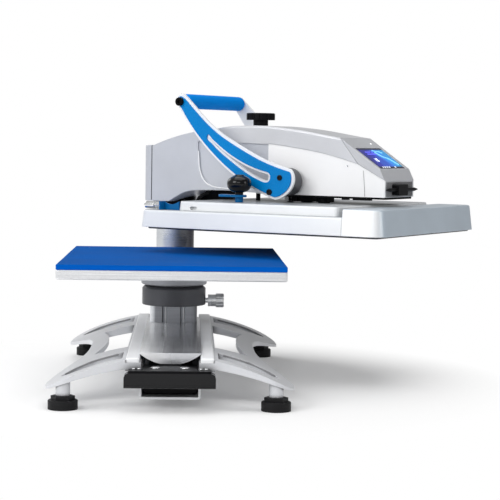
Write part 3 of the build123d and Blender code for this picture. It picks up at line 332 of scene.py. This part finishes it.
def cast_grey(name, colour, roughness=0.55, metallic=0.2):
    """A coated casting: a coarse skin over fine pits."""
    mat = new_material(name, colour, roughness, metallic)
    place = coordinates(mat)
    skin = noise(mat, place, 260.0, 5.0, 0.65)
    cloud = noise(mat, place, 18.0)
    wire(mat, tinted(mat, spread(mat, cloud, 0.0, 1.0), scaled(colour, 0.9), scaled(colour, 1.12)),
         shader_of(mat).inputs["Base Color"])
    wire(mat, spread(mat, skin, roughness - 0.08, roughness + 0.08),
         shader_of(mat).inputs["Roughness"])
    finish_normal(mat, skin, 0.3, 0.0004, 0.001)
    return mat


def foam_blue(name, colour):
    """Silicone sponge: a matt skin with tiny pores, a brighter, deeper blue on the faces at the
    sides.
    """
    mat = new_material(name, colour, 0.8, specular=0.03)
    place = coordinates(mat)
    pores = node(mat, "ShaderNodeTexVoronoi")
    pores.inputs["Scale"].default_value = 900.0
    wire(mat, place, pores.inputs["Vector"])
    cloud = noise(mat, place, 6.0, 5.0)
    skin = tinted(mat, spread(mat, cloud, 0.0, 1.0), scaled(colour, 0.9), scaled(colour, 1.12))
    facing = node(mat, "ShaderNodeNewGeometry")
    split = node(mat, "ShaderNodeSeparateXYZ")
    wire(mat, facing.outputs["Normal"], split.inputs["Vector"])
    side_tone = node(mat, "ShaderNodeMix", data_type="RGBA")
    side_tone.inputs["A"].default_value = (0.0, 0.10, 0.50, 1.0)
    wire(mat, spread(mat, split.outputs["Z"], 0.0, 1.0, 0.2, 0.9), side_tone.inputs["Factor"])
    wire(mat, skin, side_tone.inputs["B"])
    wire(mat, side_tone.outputs["Result"], shader_of(mat).inputs["Base Color"])
    wire(mat, spread(mat, cloud, 0.66, 0.78), shader_of(mat).inputs["Roughness"])
    finish_normal(mat, pores.outputs["Distance"], 0.25, 0.0003)
    return mat


def smooth_black(name, colour, roughness):
    """Polished black plastic with a faint drift in its gloss."""
    mat = new_material(name, colour, roughness, coat=0.1, specular=0.25)
    cloud = noise(mat, coordinates(mat), 16.0)
    wire(mat, spread(mat, cloud, roughness - 0.03, roughness + 0.05),
         shader_of(mat).inputs["Roughness"])
    wire(mat, tinted(mat, spread(mat, cloud, 0.0, 1.0), scaled(colour, 0.8), scaled(colour, 1.2)),
         shader_of(mat).inputs["Base Color"])
    finish_normal(mat, None, 0, 0, 0.0008)
    return mat


def lit_screen(name):
    """The display: a glowing blue ground that pales towards one side, under glass."""
    mat = new_material(name, (0.01, 0.01, 0.02), 0.12, specular=0.2)
    place = node(mat, "ShaderNodeTexCoord")
    away = node(mat, "ShaderNodeVectorMath", operation="SUBTRACT")
    away.inputs[1].default_value = screen_middle
    wire(mat, place.outputs["Object"], away.inputs[0])

    def along(axis, reach):
        """How far across the face, from 0 to 1, along an axis."""
        dot = node(mat, "ShaderNodeVectorMath", operation="DOT_PRODUCT")
        dot.inputs[1].default_value = axis
        wire(mat, away.outputs["Vector"], dot.inputs[0])
        return spread(mat, dot.outputs["Value"], 0.0, 1.0, -reach * MM, reach * MM)

    across_face = along(far_dir, SCREEN_LONG / 2)
    up_face = along(screen_up, SCREEN_HIGH / 2)
    swirl = noise(mat, coordinates(mat), 34.0, 2.0, 0.4)
    warped = node(mat, "ShaderNodeMath", operation="MULTIPLY_ADD")
    warped.inputs[1].default_value = 0.5
    wire(mat, swirl, warped.inputs[0])
    wire(mat, across_face, warped.inputs[2])
    ramp = node(mat, "ShaderNodeValToRGB")
    stops = [(0.20, (0.006, 0.006, 0.09)), (0.60, (0.008, 0.02, 0.42)), (0.95, (0.02, 0.22, 0.80)),
             (1.12, (0.02, 0.30, 0.70)), (1.3, (0.03, 0.25, 0.42))]
    first, last = stops[0][0], stops[-1][0]
    elements = ramp.color_ramp.elements
    elements[0].position, elements[0].color = 0.0, (*stops[0][1], 1.0)
    elements[1].position, elements[1].color = 1.0, (*stops[-1][1], 1.0)
    for position, colour in stops[1:-1]:
        elements.new((position - first) / (last - first)).color = (*colour, 1.0)
    wire(mat, spread(mat, warped.outputs["Value"], 0.0, 1.0, first, last), ramp.inputs["Fac"])
    glow = node(mat, "ShaderNodeMix", data_type="RGBA")
    glow.inputs["A"].default_value = (0.003, 0.003, 0.02, 1.0)
    low = spread(mat, up_face, 0.0, 1.0, 0.085, 0.11)
    high = spread(mat, up_face, 1.0, 0.0, 0.90, 0.94)
    inside = node(mat, "ShaderNodeMath", operation="MULTIPLY")
    wire(mat, low, inside.inputs[0])
    wire(mat, high, inside.inputs[1])
    wire(mat, inside.outputs["Value"], glow.inputs["Factor"])
    wire(mat, ramp.outputs["Color"], glow.inputs["B"])
    wire(mat, glow.outputs["Result"], shader_of(mat).inputs["Emission Color"])
    shader_of(mat).inputs["Emission Strength"].default_value = 1.0
    return mat


def glowing(name, colour, strength):
    """A lit mark on the display."""
    mat = new_material(name, colour, 0.4)
    cloud = noise(mat, coordinates(mat), 60.0)
    wire(mat, tinted(mat, spread(mat, cloud, 0.0, 1.0), scaled(colour, 0.85), colour),
         shader_of(mat).inputs["Emission Color"])
    shader_of(mat).inputs["Emission Strength"].default_value = strength
    return mat


def layered_edge(name, colour, roughness):
    """Machined plate: fine lines round the edge and cloudy milling on the faces."""
    mat = new_material(name, colour, roughness, metallic=0.85)
    lines = noise(mat, coordinates(mat, (6, 6, 900)), 1.0, 4.0, 0.6)
    speck = noise(mat, coordinates(mat), 700.0, 4.0, 0.7)
    mixed = node(mat, "ShaderNodeMath", operation="ADD")
    wire(mat, spread(mat, lines, 0.0, 0.6), mixed.inputs[0])
    wire(mat, spread(mat, speck, 0.0, 0.4), mixed.inputs[1])
    wire(mat, tinted(mat, mixed.outputs["Value"], scaled(colour, 0.72), scaled(colour, 1.12)),
         shader_of(mat).inputs["Base Color"])
    wire(mat, spread(mat, speck, roughness - 0.06, roughness + 0.1),
         shader_of(mat).inputs["Roughness"])
    finish_normal(mat, mixed.outputs["Value"], 0.25, 0.0003, 0.0006)
    return mat


# One material for each slot of the record
M = {
    # The legs' paint carries painted shade deep in their slots and hollows
    "leg_silver": metallic_paint("leg_silver", (0.68, 0.69, 0.72), 0.36, 0.25, 0.0018, 0.10, 0.02),
    "rail_grey": metallic_paint("rail_grey", (0.93, 0.94, 0.96), 0.36, 0.1, 0.001),
    "channel_grey": metallic_paint("channel_grey", (0.70, 0.71, 0.73), 0.42, 0.2, 0.001),
    "bar_bright": brushed("bar_bright", (0.62, 0.63, 0.66), 0.17, (500, 4, 500), 0.03, 0.75),
    "post_grey": brushed("post_grey", (0.62, 0.64, 0.67), 0.28, (5, 5, 700), 0.04, 0.85),
    "steel": brushed("steel", (0.50, 0.51, 0.53), 0.34, (300, 300, 300)),
    "slide_steel": brushed("slide_steel", (0.60, 0.61, 0.63), 0.36, (700, 6, 700)),
    "black_plastic": moulded("black_plastic", (0.005, 0.005, 0.006), 0.36, specular=0.10),
    "gloss_black": smooth_black("gloss_black", (0.002, 0.002, 0.003), 0.05),
    "foot_rubber": moulded("foot_rubber", (0.010, 0.010, 0.011), 0.5, 700.0, 0.3),
    "black_metal": moulded("black_metal", (0.004, 0.004, 0.005), 0.30, 900.0, 0.12, specular=0.06),
    "collar_grey": cast_grey("collar_grey", (0.085, 0.087, 0.098), 0.42, 0.5),
    "hub_grey": cast_grey("hub_grey", (0.36, 0.37, 0.40), 0.40, 0.5),
    "pedestal_silver": brushed("pedestal_silver", (0.34, 0.35, 0.38), 0.30, (6, 6, 500), 0.05,
                               0.75),
    "platen_alu": layered_edge("platen_alu", (0.86, 0.87, 0.89), 0.34),
    "pad_blue": foam_blue("pad_blue", (0.0, 0.085, 0.36)),
    "housing_silver": metallic_paint("housing_silver", (0.56, 0.58, 0.63), 0.40, 0.25, 0.0025),
    "panel_white": moulded("panel_white", (0.95, 0.95, 0.96), 0.30, 1500.0, 0.03, 0.3, 0.001, 0.01),
    "band_silver": metallic_paint("band_silver", (0.62, 0.63, 0.66), 0.34, 0.25, 0.002),
    "console_silver": metallic_paint("console_silver", (0.54, 0.55, 0.58), 0.36, 0.2, 0.0015),
    "arm_silver": metallic_paint("arm_silver", (0.92, 0.93, 0.95), 0.30, 0.1, 0, 0.0),
    "arm_blue": moulded("arm_blue", (0.0, 0.22, 0.60), 0.26, 900.0, 0.05, 0.12, 0.0012, 0.05, 0.1),
    "grip_blue": moulded("grip_blue", (0.0, 0.25, 0.80), 0.55, 900.0, 0.25, 0, 0.001, 0.05, 0.05),
    "bracket_blue": moulded("bracket_blue", (0.0, 0.12, 0.34), 0.34, 900.0, 0.08),
    "casing_white": metallic_paint("casing_white", (0.82, 0.84, 0.86), 0.32, 0.10, 0.002, 0.04),
    # The casing front's grey-blue is painted shade on its front face; faces towards the near side
    # blend to near-white below
    "casing_front": metallic_paint("casing_front", (0.49, 0.56, 0.63), 0.32, 0.2, 0.002, 0.04),
    "heater_alu": layered_edge("heater_alu", (0.10, 0.10, 0.105), 0.45),
    "insulation": cast_grey("insulation", (0.70, 0.66, 0.58), 0.9, 0.0),
    "chrome": brushed("chrome", (0.86, 0.87, 0.88), 0.10, (120, 120, 120), 0.03),
    "screen_glass": lit_screen("screen_glass"),
}

# Painted light and shade by facing: paler to the left and near side, darker to the right and on
# casing tops
leftward, rightward = Vector((-1, -0.3, 0)), Vector((1, -0.2, 0))
for slot, facing, colour, from_low, from_high in (
        ("casing_front", near_dir, (0.86, 0.88, 0.90), 0.35, 0.8),
        ("casing_white", up, (0.40, 0.42, 0.44), 0.6, 0.95),
        ("post_grey", rightward, (0.06, 0.06, 0.075), 0.0, 0.95),
        ("post_grey", leftward, (0.80, 0.83, 0.86), 0.1, 1.0),
        ("pedestal_silver", rightward, (0.12, 0.125, 0.135), 0.2, 0.95),
        ("pedestal_silver", leftward, (0.80, 0.82, 0.85), 0.40, 1.0)):
    paint_light_by_facing(M[slot], facing, colour, from_low, from_high)
# Painted light: the carriage bar turns paler and less metallic towards its left side
paint_light_on_left(M["bar_bright"], (0.96, 0.97, 0.98), -44.0, 2.0, metal_left=0.05, metal_right=0.75)

# Materials of pieces that have no slot of their own
mark_white = glowing("mark_white", (0.85, 0.90, 1.0), 0.9)
mark_blue = glowing("mark_blue", (0.12, 0.12, 0.75), 0.8)
mark_pale = glowing("mark_pale", (0.25, 0.62, 0.95), 0.8)
lamp_white = glowing("lamp_white", (1.0, 1.0, 1.0), 1.0)
# This dark grey serves the grille's back plate and the slots' painted shade lines
grille_dark_and_slot_shade = moulded("grille_dark_and_slot_shade", (0.26, 0.26, 0.27), 0.45)
grille_grey = metallic_paint("grille_grey", (0.46, 0.46, 0.47), 0.40, 0.3)


def dress_nodes():
    """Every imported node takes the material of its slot."""
    slot_of = {part["node"]: part["material_slot"] for part in frame["record"]["subparts"]}
    for name, thing in nodes.items():
        mat = M.get(slot_of[name])
        if mat is None:
            continue
        thing.data.materials.clear()
        thing.data.materials.append(mat)


# ---------------------------------------------------------------------------------------
# Pieces
def place_axes(origin, along, out):
    """A frame at a point, x along one direction and z out of the surface; in millimetres."""
    z_axis = Vector(out).normalized()
    x_axis = Vector(along).normalized()
    y_axis = z_axis.cross(x_axis)
    turn = Matrix((x_axis, y_axis, z_axis)).transposed().to_4x4()
    return Matrix.Translation(origin) @ turn @ Matrix.Scale(MM, 4)


def head_axes(x=0.0, near=0.0, z=0.0, along=head_dir, out=up):
    """A frame at a point of the head, in millimetres."""
    return place_axes(head_point(x, near, z), along, out)


def head_upright():
    """The head's own axes: x forward, y to the near side and z up, in millimetres."""
    turn = Matrix((head_dir, near_dir, up)).transposed().to_4x4()
    return Matrix.Translation(head_point(0, 0, 0)) @ turn @ Matrix.Scale(MM, 4)


def add_piece(name, shape, place, body, slot, mat=None, smooth=False, bevel=0.0):
    """A piece from a bmesh in millimetres, put in its place and set riding on its body."""
    bmesh.ops.transform(shape, matrix=place, verts=shape.verts)
    bmesh.ops.recalc_face_normals(shape, faces=shape.faces)
    mesh = bpy.data.meshes.new(name)
    shape.to_mesh(mesh)
    shape.free()
    mesh.polygons.foreach_set("use_smooth", [smooth] * len(mesh.polygons))
    mesh.materials.append(mat or M[slot])
    piece = bpy.data.objects.new(name, mesh)
    bpy.context.scene.collection.objects.link(piece)
    if bevel:
        rounding = piece.modifiers.new("edges", "BEVEL")
        rounding.width = bevel * MM
        rounding.segments = 2
        rounding.limit_method = "ANGLE"
    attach(piece, body)
    return piece


def add_block(shape, low, high):
    """A box between two corners."""
    centre = [(a + b) / 2 for a, b in zip(low, high)]
    size = [b - a for a, b in zip(low, high)]
    bmesh.ops.create_cube(shape, size=1.0, matrix=Matrix.Translation(centre) @ Matrix.Diagonal(
        (*size, 1.0)))


def add_prism(shape, outline, low, high):
    """An outline in x and y, raised from low to high."""
    floor = [shape.verts.new((x, y, low)) for x, y in outline]
    roof = [shape.verts.new((x, y, high)) for x, y in outline]
    shape.faces.new(floor)
    shape.faces.new(roof)
    for k, corner in enumerate(floor):
        following = (k + 1) % len(floor)
        shape.faces.new((corner, floor[following], roof[following], roof[k]))


def ring_points(radius, count):
    """Evenly spaced points round a circle."""
    return [(radius * math.cos(2 * math.pi * k / count),
             radius * math.sin(2 * math.pi * k / count)) for k in range(count)]


def join_rings(shape, rings):
    """A closed skin over rings that have the same number of vertices."""
    count = len(rings[0])
    for lower, higher in zip(rings, rings[1:]):
        for k in range(count):
            following = (k + 1) % count
            shape.faces.new((lower[k], lower[following], higher[following], higher[k]))
    shape.faces.new(rings[0])
    shape.faces.new(rings[-1])


def add_socket_head(shape, radius, height, count=36):
    """A screw head on z = 0 with a hexagonal socket in its top."""
    loops = [(radius, 0.0), (radius, height - 0.7), (radius - 0.7, height)]
    rings = [[shape.verts.new((x, y, z)) for x, y in ring_points(r, count)] for r, z in loops]
    key = radius * 0.52
    wall = []
    for k in range(count):
        from_flat = (2 * math.pi * k / count) % (math.pi / 3) - math.pi / 6
        wall.append(key / max(math.cos(from_flat), 0.5) * 0.866)
    for depth in (height, height * 0.35):
        rings.append([shape.verts.new((w * math.cos(2 * math.pi * k / count),
                                       w * math.sin(2 * math.pi * k / count), depth))
                      for k, w in enumerate(wall)])
    join_rings(shape, rings)


def make_tube(name, points, radius, body, slot, mat=None, sides=3):
    """A thin round bead along points given in metres."""
    data = bpy.data.curves.new(name, "CURVE")
    data.dimensions = "3D"
    data.bevel_depth = radius * MM
    data.bevel_resolution = sides
    data.use_fill_caps = True
    line = data.splines.new("NURBS")
    line.points.add(len(points) - 1)
    for point, place in zip(line.points, points):
        point.co = (*place, 1.0)
    line.order_u = 3
    line.use_endpoint_u = True
    data.materials.append(mat or M[slot])
    bead = bpy.data.objects.new(name, data)
    bpy.context.scene.collection.objects.link(bead)
    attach(bead, body)


# The pad's corner radius, and the slow waves in its skin: height, and radians per millimetre
PAD_ROUND, PAD_WAVE, PAD_WAVE_X, PAD_WAVE_Y = 1.4, 0.18, 0.031, 0.023


def make_pad():
    """The silicone pad: a soft-edged slab with a slightly uneven skin."""
    low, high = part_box("silicone_pad")
    shape = bmesh.new()
    middle = (low + high) / 2
    size = high - low
    bmesh.ops.create_grid(shape, x_segments=40, y_segments=50, size=0.5)
    for vert in shape.verts:
        vert.co.x *= size.x / MM
        vert.co.y *= size.y / MM
    top = list(shape.faces)
    moved = bmesh.ops.extrude_face_region(shape, geom=top)
    for vert in [v for v in moved["geom"] if isinstance(v, bmesh.types.BMVert)]:
        vert.co.z = size.z / MM - 0.25
    for vert in shape.verts:
        if vert.co.z > 1.0:
            wave = math.sin(vert.co.x * PAD_WAVE_X + 0.7) * math.sin(vert.co.y * PAD_WAVE_Y + 0.4)
            vert.co.z += PAD_WAVE * wave
    pad = add_piece("pad_sheet", shape, Matrix.Translation((middle.x, middle.y, low.z))
                    @ Matrix.Scale(MM, 4), "carriage", "pad_blue")
    corner = pad.modifiers.new("corners", "BEVEL")
    corner.width = PAD_ROUND * MM
    corner.segments = 3
    corner.limit_method = "ANGLE"
    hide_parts("silicone_pad")


# The grip: where its axis runs, its radius and half its length; its knurl and its round ends
GRIP_X, GRIP_Z, GRIP_RADIUS, GRIP_HALF = 90.0, 533.0, 15.0, 104.0
GRIP_RIDGES, GRIP_LEAD, GRIP_DEPTH, GRIP_ROUND = 15, 0.9, 0.45, 6.0


def make_grip():
    """The foam grip: a round bar with a fine diamond knurl, rounded off at its ends."""
    shape = bmesh.new()
    around, length = 120, 150
    rings = []
    for step in range(length + 1):
        share = step / length
        z = -GRIP_HALF + 0.3 + share * (2 * GRIP_HALF - 0.6)
        edge = min(share, 1 - share) * 2 * GRIP_HALF
        shoulder = GRIP_RADIUS - 1.8 * max(0.0, 1 - edge / GRIP_ROUND) ** 2
        ring = []
        for k in range(around):
            angle = 2 * math.pi * k / around
            slant, lead = GRIP_RIDGES * angle, z * GRIP_LEAD
            knurl = math.cos(slant + lead) * math.cos(slant - lead)
            radius = shoulder - 0.5 + GRIP_DEPTH * knurl * min(1.0, edge / GRIP_ROUND)
            ring.append(shape.verts.new((radius * math.cos(angle), radius * math.sin(angle), z)))
        rings.append(ring)
    join_rings(shape, rings)
    grip = add_piece("grip_foam", shape, head_axes(GRIP_X, 0, GRIP_Z, head_dir, near_dir),
                     "handle", "grip_blue", smooth=True)
    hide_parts("grip")


def make_display():
    """Marks on the display: two rows of text as bars, a number, icons and a bright sweep."""
    face = place_axes(screen_middle + screen_out * 0.25 * MM, far_dir, screen_out)

    def face_point(x, y):
        """A point just over the face, x across it and y up it, in metres."""
        return screen_middle + (far_dir * x + screen_up * y + screen_out * 0.3) * MM

    def marks(name, blocks, mat):
        """Flat bars on the face, each given by its corner and its size."""
        shape = bmesh.new()
        for x, y, wide, high in blocks:
            add_block(shape, (x, y, 0), (x + wide, y + high, 0.2))
        add_piece(name, shape, face, "head", "screen_glass", mat)

    marks("display_rows", [(-34, 19, 22, 2.6), (-34, 12, 38, 3.2), (-8, 19, 8, 2.6)], mark_blue)
    icons = [(-38 + 9 * k, -31.5, 3.4, 3.6) for k in range(4)] + [(14, -31.5, 3.4, 3.6)]
    digits = [(-30, -11, 1.6, 10), (-25, -11, 1.6, 10), (-25, -11, 5, 1.6), (-25, -2.6, 5, 1.6),
              (-21.6, -11, 1.6, 10)]
    marks("display_icons", icons + digits, mark_white)
    sweep = []
    for k in range(9):
        share = k / 8
        x, y = 6 + 36 * share, 20 - 40 * share - 5 * math.sin(2.2 * math.pi * share)
        sweep.append(face_point(x, y))
    make_tube("display_sweep", sweep, 0.9, "head", "screen_glass", mark_pale, 2)
    upper = [face_point(x, y) for x, y in ((4, 26), (14, 22), (24, 23), (34, 17))]
    make_tube("display_crest", upper, 0.8, "head", "screen_glass", mark_pale, 2)
    lamp = bmesh.new()
    bmesh.ops.create_cone(lamp, cap_ends=True, segments=20, radius1=1.7, radius2=1.3, depth=0.8)
    lamp_place = head_point(440.0, -34, 453.1)
    add_piece("display_lamp", lamp, place_axes(lamp_place, far_dir, screen_out), "head",
              "console_silver", lamp_white, smooth=True)


# The nose's front plane, and the grille on it
NOSE_FRONT = 521.5
GRILLE_HALF, GRILLE_LOW, GRILLE_HIGH, GRILLE_PITCH = 56.5, 352.5, 380.5, 2.6


def make_grille():
    """The nose's grille: thin crossed bars over a dark plate, in a narrow frame."""
    front = head_axes(NOSE_FRONT, 0, 0, near_dir, up)
    back = bmesh.new()
    add_block(back, (-GRILLE_HALF, -0.3, GRILLE_LOW), (GRILLE_HALF, 0.0, GRILLE_HIGH))
    add_piece("grille_back", back, front, "head", "console_silver", grille_dark_and_slot_shade)
    bars = bmesh.new()
    across = int(2 * GRILLE_HALF / GRILLE_PITCH)
    for k in range(across + 1):
        x = -GRILLE_HALF + k * 2 * GRILLE_HALF / across
        add_block(bars, (x - 0.35, -0.9, GRILLE_LOW), (x + 0.35, -0.2, GRILLE_HIGH))
    rows = int((GRILLE_HIGH - GRILLE_LOW) / GRILLE_PITCH)
    for k in range(rows + 1):
        z = GRILLE_LOW + k * (GRILLE_HIGH - GRILLE_LOW) / rows
        add_block(bars, (-GRILLE_HALF, -1.0, z - 0.35), (GRILLE_HALF, -0.2, z + 0.35))
    add_piece("grille_bars", bars, front, "head", "console_silver", grille_grey)


def make_arch_shade_sheet():
    """A black sheet of painted shade, where the shadowed inner wall shows through the arch behind
    the casing.
    """
    arch = [(44, 339), (62, 347), (85, 351), (111, 353.5), (125, 353.8)]
    outline = [(x, z) for x, z in arch] + [(125, 324), (44, 324)]
    shape = bmesh.new()
    add_prism(shape, outline, -58.0, -25.0)
    upright = Matrix((head_dir, up, near_dir)).transposed().to_4x4()
    add_piece("arch_shade_sheet", shape, Matrix.Translation(head_point(0, 0, 0)) @ upright
              @ Matrix.Scale(MM, 4), "head", "black_plastic", bevel=0.6)


def make_recess_highlight():
    """The bright bead round the recess in each side of the rear housing: a rounded edge in paler
    paint, a painted highlight.
    """
    run = [(172, 359), (150, 359.5), (133, 362), (120, 367), (112, 374), (105, 384), (101, 395),
           (98.5, 412), (97.5, 434)]
    for label, near in (("near", 63.2), ("far", -63.2)):
        # Painted highlight: the bead takes the arms' paler silver, brighter than the housing
        make_tube(f"recess_highlight_{label}", [head_point(x, near, z) for x, z in run], 1.5, "head",
                  "arm_silver")


# How far out the hubs' faces are
ARM_FACE = 113.0


def make_screws():
    """Socket screws on the arms' hubs, and the small screw of the near panel."""
    for side_name, sign in (("near", 1), ("far", -1)):
        out = near_dir * sign
        for label, x, z, radius in (("pivot", 319.0, 385.0, 5.5), ("lock", 296.0, 356.5, 6.0)):
            shape = bmesh.new()
            add_socket_head(shape, radius, 2.5)
            add_piece(f"hub_{label}_{side_name}", shape,
                      head_axes(x, sign * ARM_FACE, z, head_dir, out),
                      "handle", "gloss_black", smooth=False)
    dot = bmesh.new()
    add_socket_head(dot, 2.0, 0.9, 24)
    add_piece("panel_screw", dot, head_axes(440, 62.6, 410, head_dir, near_dir), "head", "chrome")


def make_seams():
    """The dark joints of the rear cap and of the near panel."""
    make_tube("cap_seam", [head_point(-18, 63.0, z) for z in (331, 360, 400, 440, 443)], 0.8,
              "head", "black_plastic")
    make_tube("panel_seam", [head_point(x, 62.9, z) for x, z in ((474.8, 402), (477, 377),
                                                                 (479, 352))], 0.45,
              "head", "console_silver", grille_grey)


# The frame's lower face; the ribbed column under it: its place, its drop and its radii
FRAME_LOW = 347.0
COLUMN_X, COLUMN_NEAR, COLUMN_DROP, COLUMN_STEPS, COLUMN_SIDES = 293, 35, 9.3, 30, 28
COLUMN_RADIUS, RIB_OUT, RIB_IN = 6.6, 0.5, -0.3


def make_under_parts():
    """The stops and the ribbed column that hang from the under frame, and its low edge strips."""
    stops = bmesh.new()
    for low_x, high_x, near, drop in ((308, 320, 26, 9.2), (326, 352, 24, 9.0),
                                      (362, 392, 24, 9.2)):
        add_block(stops, (low_x, near, FRAME_LOW - drop), (high_x, near + 20, FRAME_LOW))
    for low_x, high_x in ((426, 439), (450, 488)):
        add_block(stops, (low_x, 48, FRAME_LOW - 2.6), (high_x, 58, FRAME_LOW))
    upright = head_upright()
    add_piece("frame_stops", stops, upright, "head", "black_metal", bevel=0.5)
    column = bmesh.new()
    rings = []
    for step in range(COLUMN_STEPS + 1):
        radius = COLUMN_RADIUS + (RIB_OUT if step % 2 else RIB_IN)
        z = FRAME_LOW - COLUMN_DROP * step / COLUMN_STEPS
        rings.append([column.verts.new((COLUMN_X + x, COLUMN_NEAR + y, z))
                      for x, y in ring_points(radius, COLUMN_SIDES)])
    join_rings(column, rings)
    add_piece("frame_column", column, upright, "head", "chrome")


# The feet's places, and the thread on their studs: four turns of twelve steps
FOOT_X, FOOT_Y = 180.0, 350.0
THREAD_RADIUS, THREAD_LOW, THREAD_RISE, THREAD_STEPS, THREAD_TURNS = 6.0, 16.8, 5.4, 12, 4


def make_feet_threads():
    """Thread turns on the stud over each foot."""
    steps = THREAD_STEPS * THREAD_TURNS
    for side_name, x in (("left", -FOOT_X), ("right", FOOT_X)):
        for end_name, y in (("front", -FOOT_Y), ("rear", FOOT_Y)):
            body = "foot_" + end_name[0] + side_name[0]
            turns = []
            for k in range(steps + 1):
                angle = 2 * math.pi * k / THREAD_STEPS
                turns.append(base_point(x + THREAD_RADIUS * math.cos(angle),
                                        y + THREAD_RADIUS * math.sin(angle),
                                        THREAD_LOW + THREAD_RISE * k / steps))
            make_tube(f"thread_{end_name}_{side_name}", turns, 0.45, body, "chrome", sides=2)


# The arc of the leg castings' top face, and how far under it the slots' painted shade lines lie
ARCH_TOP, ARCH_RADIUS, SHADE_LINE_DEPTH = 91.0, 425.0, 2.2


def arch_height(x):
    """The height of the legs' top face, at a distance from the middle."""
    return ARCH_TOP - ARCH_RADIUS + math.sqrt(ARCH_RADIUS ** 2 - x * x)


def make_slot_shade_lines():
    """Dark tubes of painted shade along the inner walls of the long slot in each arm of the leg
    castings.
    """
    near_edge = [(92, 322.3), (120, 323.4), (150, 324.6), (164, 320.5), (177, 312.5), (186, 300)]
    far_edge = [(92, 243.8), (120, 247.2), (136, 249.6), (153, 257.5), (168, 271), (180, 285.5)]
    for side_name, sign in (("left", -1), ("right", 1)):
        for end_name, way in (("front", -1), ("rear", 1)):
            for edge_name, edge, inward in (("outer", near_edge, -0.4), ("inner", far_edge, 0.4)):
                # Painted shade: each tube is a dark line where a slot wall lies in shade
                run = [base_point(x * sign, (y + inward) * way, arch_height(x) - SHADE_LINE_DEPTH)
                       for x, y in edge]
                make_tube(f"slot_{edge_name}_{end_name}_{side_name}", run, 1.1, "base",
                          "leg_silver", grille_dark_and_slot_shade, 2)


# ---------------------------------------------------------------------------------------
# Stage and light
def make_floor():
    """The white floor: to the camera it glows, less under the press, so shadows stay soft."""
    mesh = bpy.data.meshes.new("floor")
    size = 14.0
    mesh.from_pydata([(-size, -size, 0), (size, -size, 0), (size, size, 0), (-size, size, 0)],
                     [], [(0, 1, 2, 3)])
    floor = bpy.data.objects.new("floor", mesh)
    bpy.context.scene.collection.objects.link(floor)
    mat = new_material("floor_white", (0.95, 0.95, 0.95), 0.7, specular=0.1)
    glow = node(mat, "ShaderNodeEmission")
    glow.inputs["Color"].default_value = (1, 1, 1, 1)
    glow.inputs["Strength"].default_value = 1.0
    mix = node(mat, "ShaderNodeMixShader")
    path = node(mat, "ShaderNodeLightPath")
    place = node(mat, "ShaderNodeTexCoord")
    away = node(mat, "ShaderNodeVectorMath", operation="LENGTH")
    wire(mat, place.outputs["Object"], away.inputs[0])
    share = node(mat, "ShaderNodeMath", operation="MULTIPLY")
    wire(mat, path.outputs["Is Camera Ray"], share.inputs[0])
    wire(mat, spread(mat, away.outputs["Value"], 0.12, 1.0, 0.385, 0.66), share.inputs[1])
    wire(mat, share.outputs["Value"], mix.inputs["Fac"])
    wire(mat, shader_of(mat).outputs["BSDF"], mix.inputs[1])
    wire(mat, glow.outputs["Emission"], mix.inputs[2])
    wire(mat, mix.outputs["Shader"], mat.node_tree.nodes["Material Output"].inputs["Surface"])
    mesh.materials.append(mat)


def make_world():
    """White to the camera; on the object, paler from the left than from the right."""
    world = bpy.data.worlds.new("studio")
    bpy.context.scene.world = world
    world.use_nodes = True
    tree = world.node_tree
    back = tree.nodes["Background"]
    back.inputs["Color"].default_value = (1, 1, 1, 1)
    place = tree.nodes.new("ShaderNodeTexCoord")
    split = tree.nodes.new("ShaderNodeSeparateXYZ")
    tree.links.new(place.outputs["Generated"], split.inputs["Vector"])
    side_level = tree.nodes.new("ShaderNodeMapRange")
    side_level.inputs["From Min"].default_value = -0.8
    side_level.inputs["From Max"].default_value = 0.8
    side_level.inputs["To Min"].default_value = 0.62
    side_level.inputs["To Max"].default_value = 0.22
    tree.links.new(split.outputs["X"], side_level.inputs["Value"])
    path = tree.nodes.new("ShaderNodeLightPath")
    seen = tree.nodes.new("ShaderNodeMix")
    seen.inputs["B"].default_value = 1.0
    tree.links.new(path.outputs["Is Camera Ray"], seen.inputs["Factor"])
    tree.links.new(side_level.outputs["Result"], seen.inputs["A"])
    tree.links.new(seen.outputs["Result"], back.inputs["Strength"])


def add_light(name, place, target, size, power):
    """A soft rectangular lamp aimed at a target; metres and watts."""
    data = bpy.data.lights.new(name, "AREA")
    data.shape = "RECTANGLE"
    data.size, data.size_y = size
    data.energy = power
    lamp = bpy.data.objects.new(name, data)
    lamp.location = place
    aim = Vector(target) - Vector(place)
    lamp.rotation_euler = aim.to_track_quat("-Z", "Y").to_euler()
    bpy.context.scene.collection.objects.link(lamp)


def make_lights():
    """Lamps on the left, in front, above, on the right and behind."""
    middle = (0.1, 0.0, 0.3)
    add_light("key_left", (-2.6, -2.0, 2.0), middle, (1.8, 1.8), 50)
    add_light("front_soft", (-0.6, -3.6, 1.7), middle, (2.2, 1.2), 20)
    add_light("top_soft", (0.2, 0.2, 3.2), middle, (3.0, 3.0), 46)
    add_light("fill_right", (2.8, -1.6, 1.4), middle, (1.0, 1.6), 14)
    add_light("back_rim", (-1.9, 2.4, 1.8), middle, (1.6, 1.2), 16)


bpy.context.scene.view_settings.view_transform = "Standard"
make_camera()
dress_nodes()
make_pad()
make_grip()
make_display()
make_grille()
make_arch_shade_sheet()
make_recess_highlight()
make_screws()
make_seams()
make_under_parts()
make_feet_threads()
make_slot_shade_lines()
make_floor()
make_world()
make_lights()
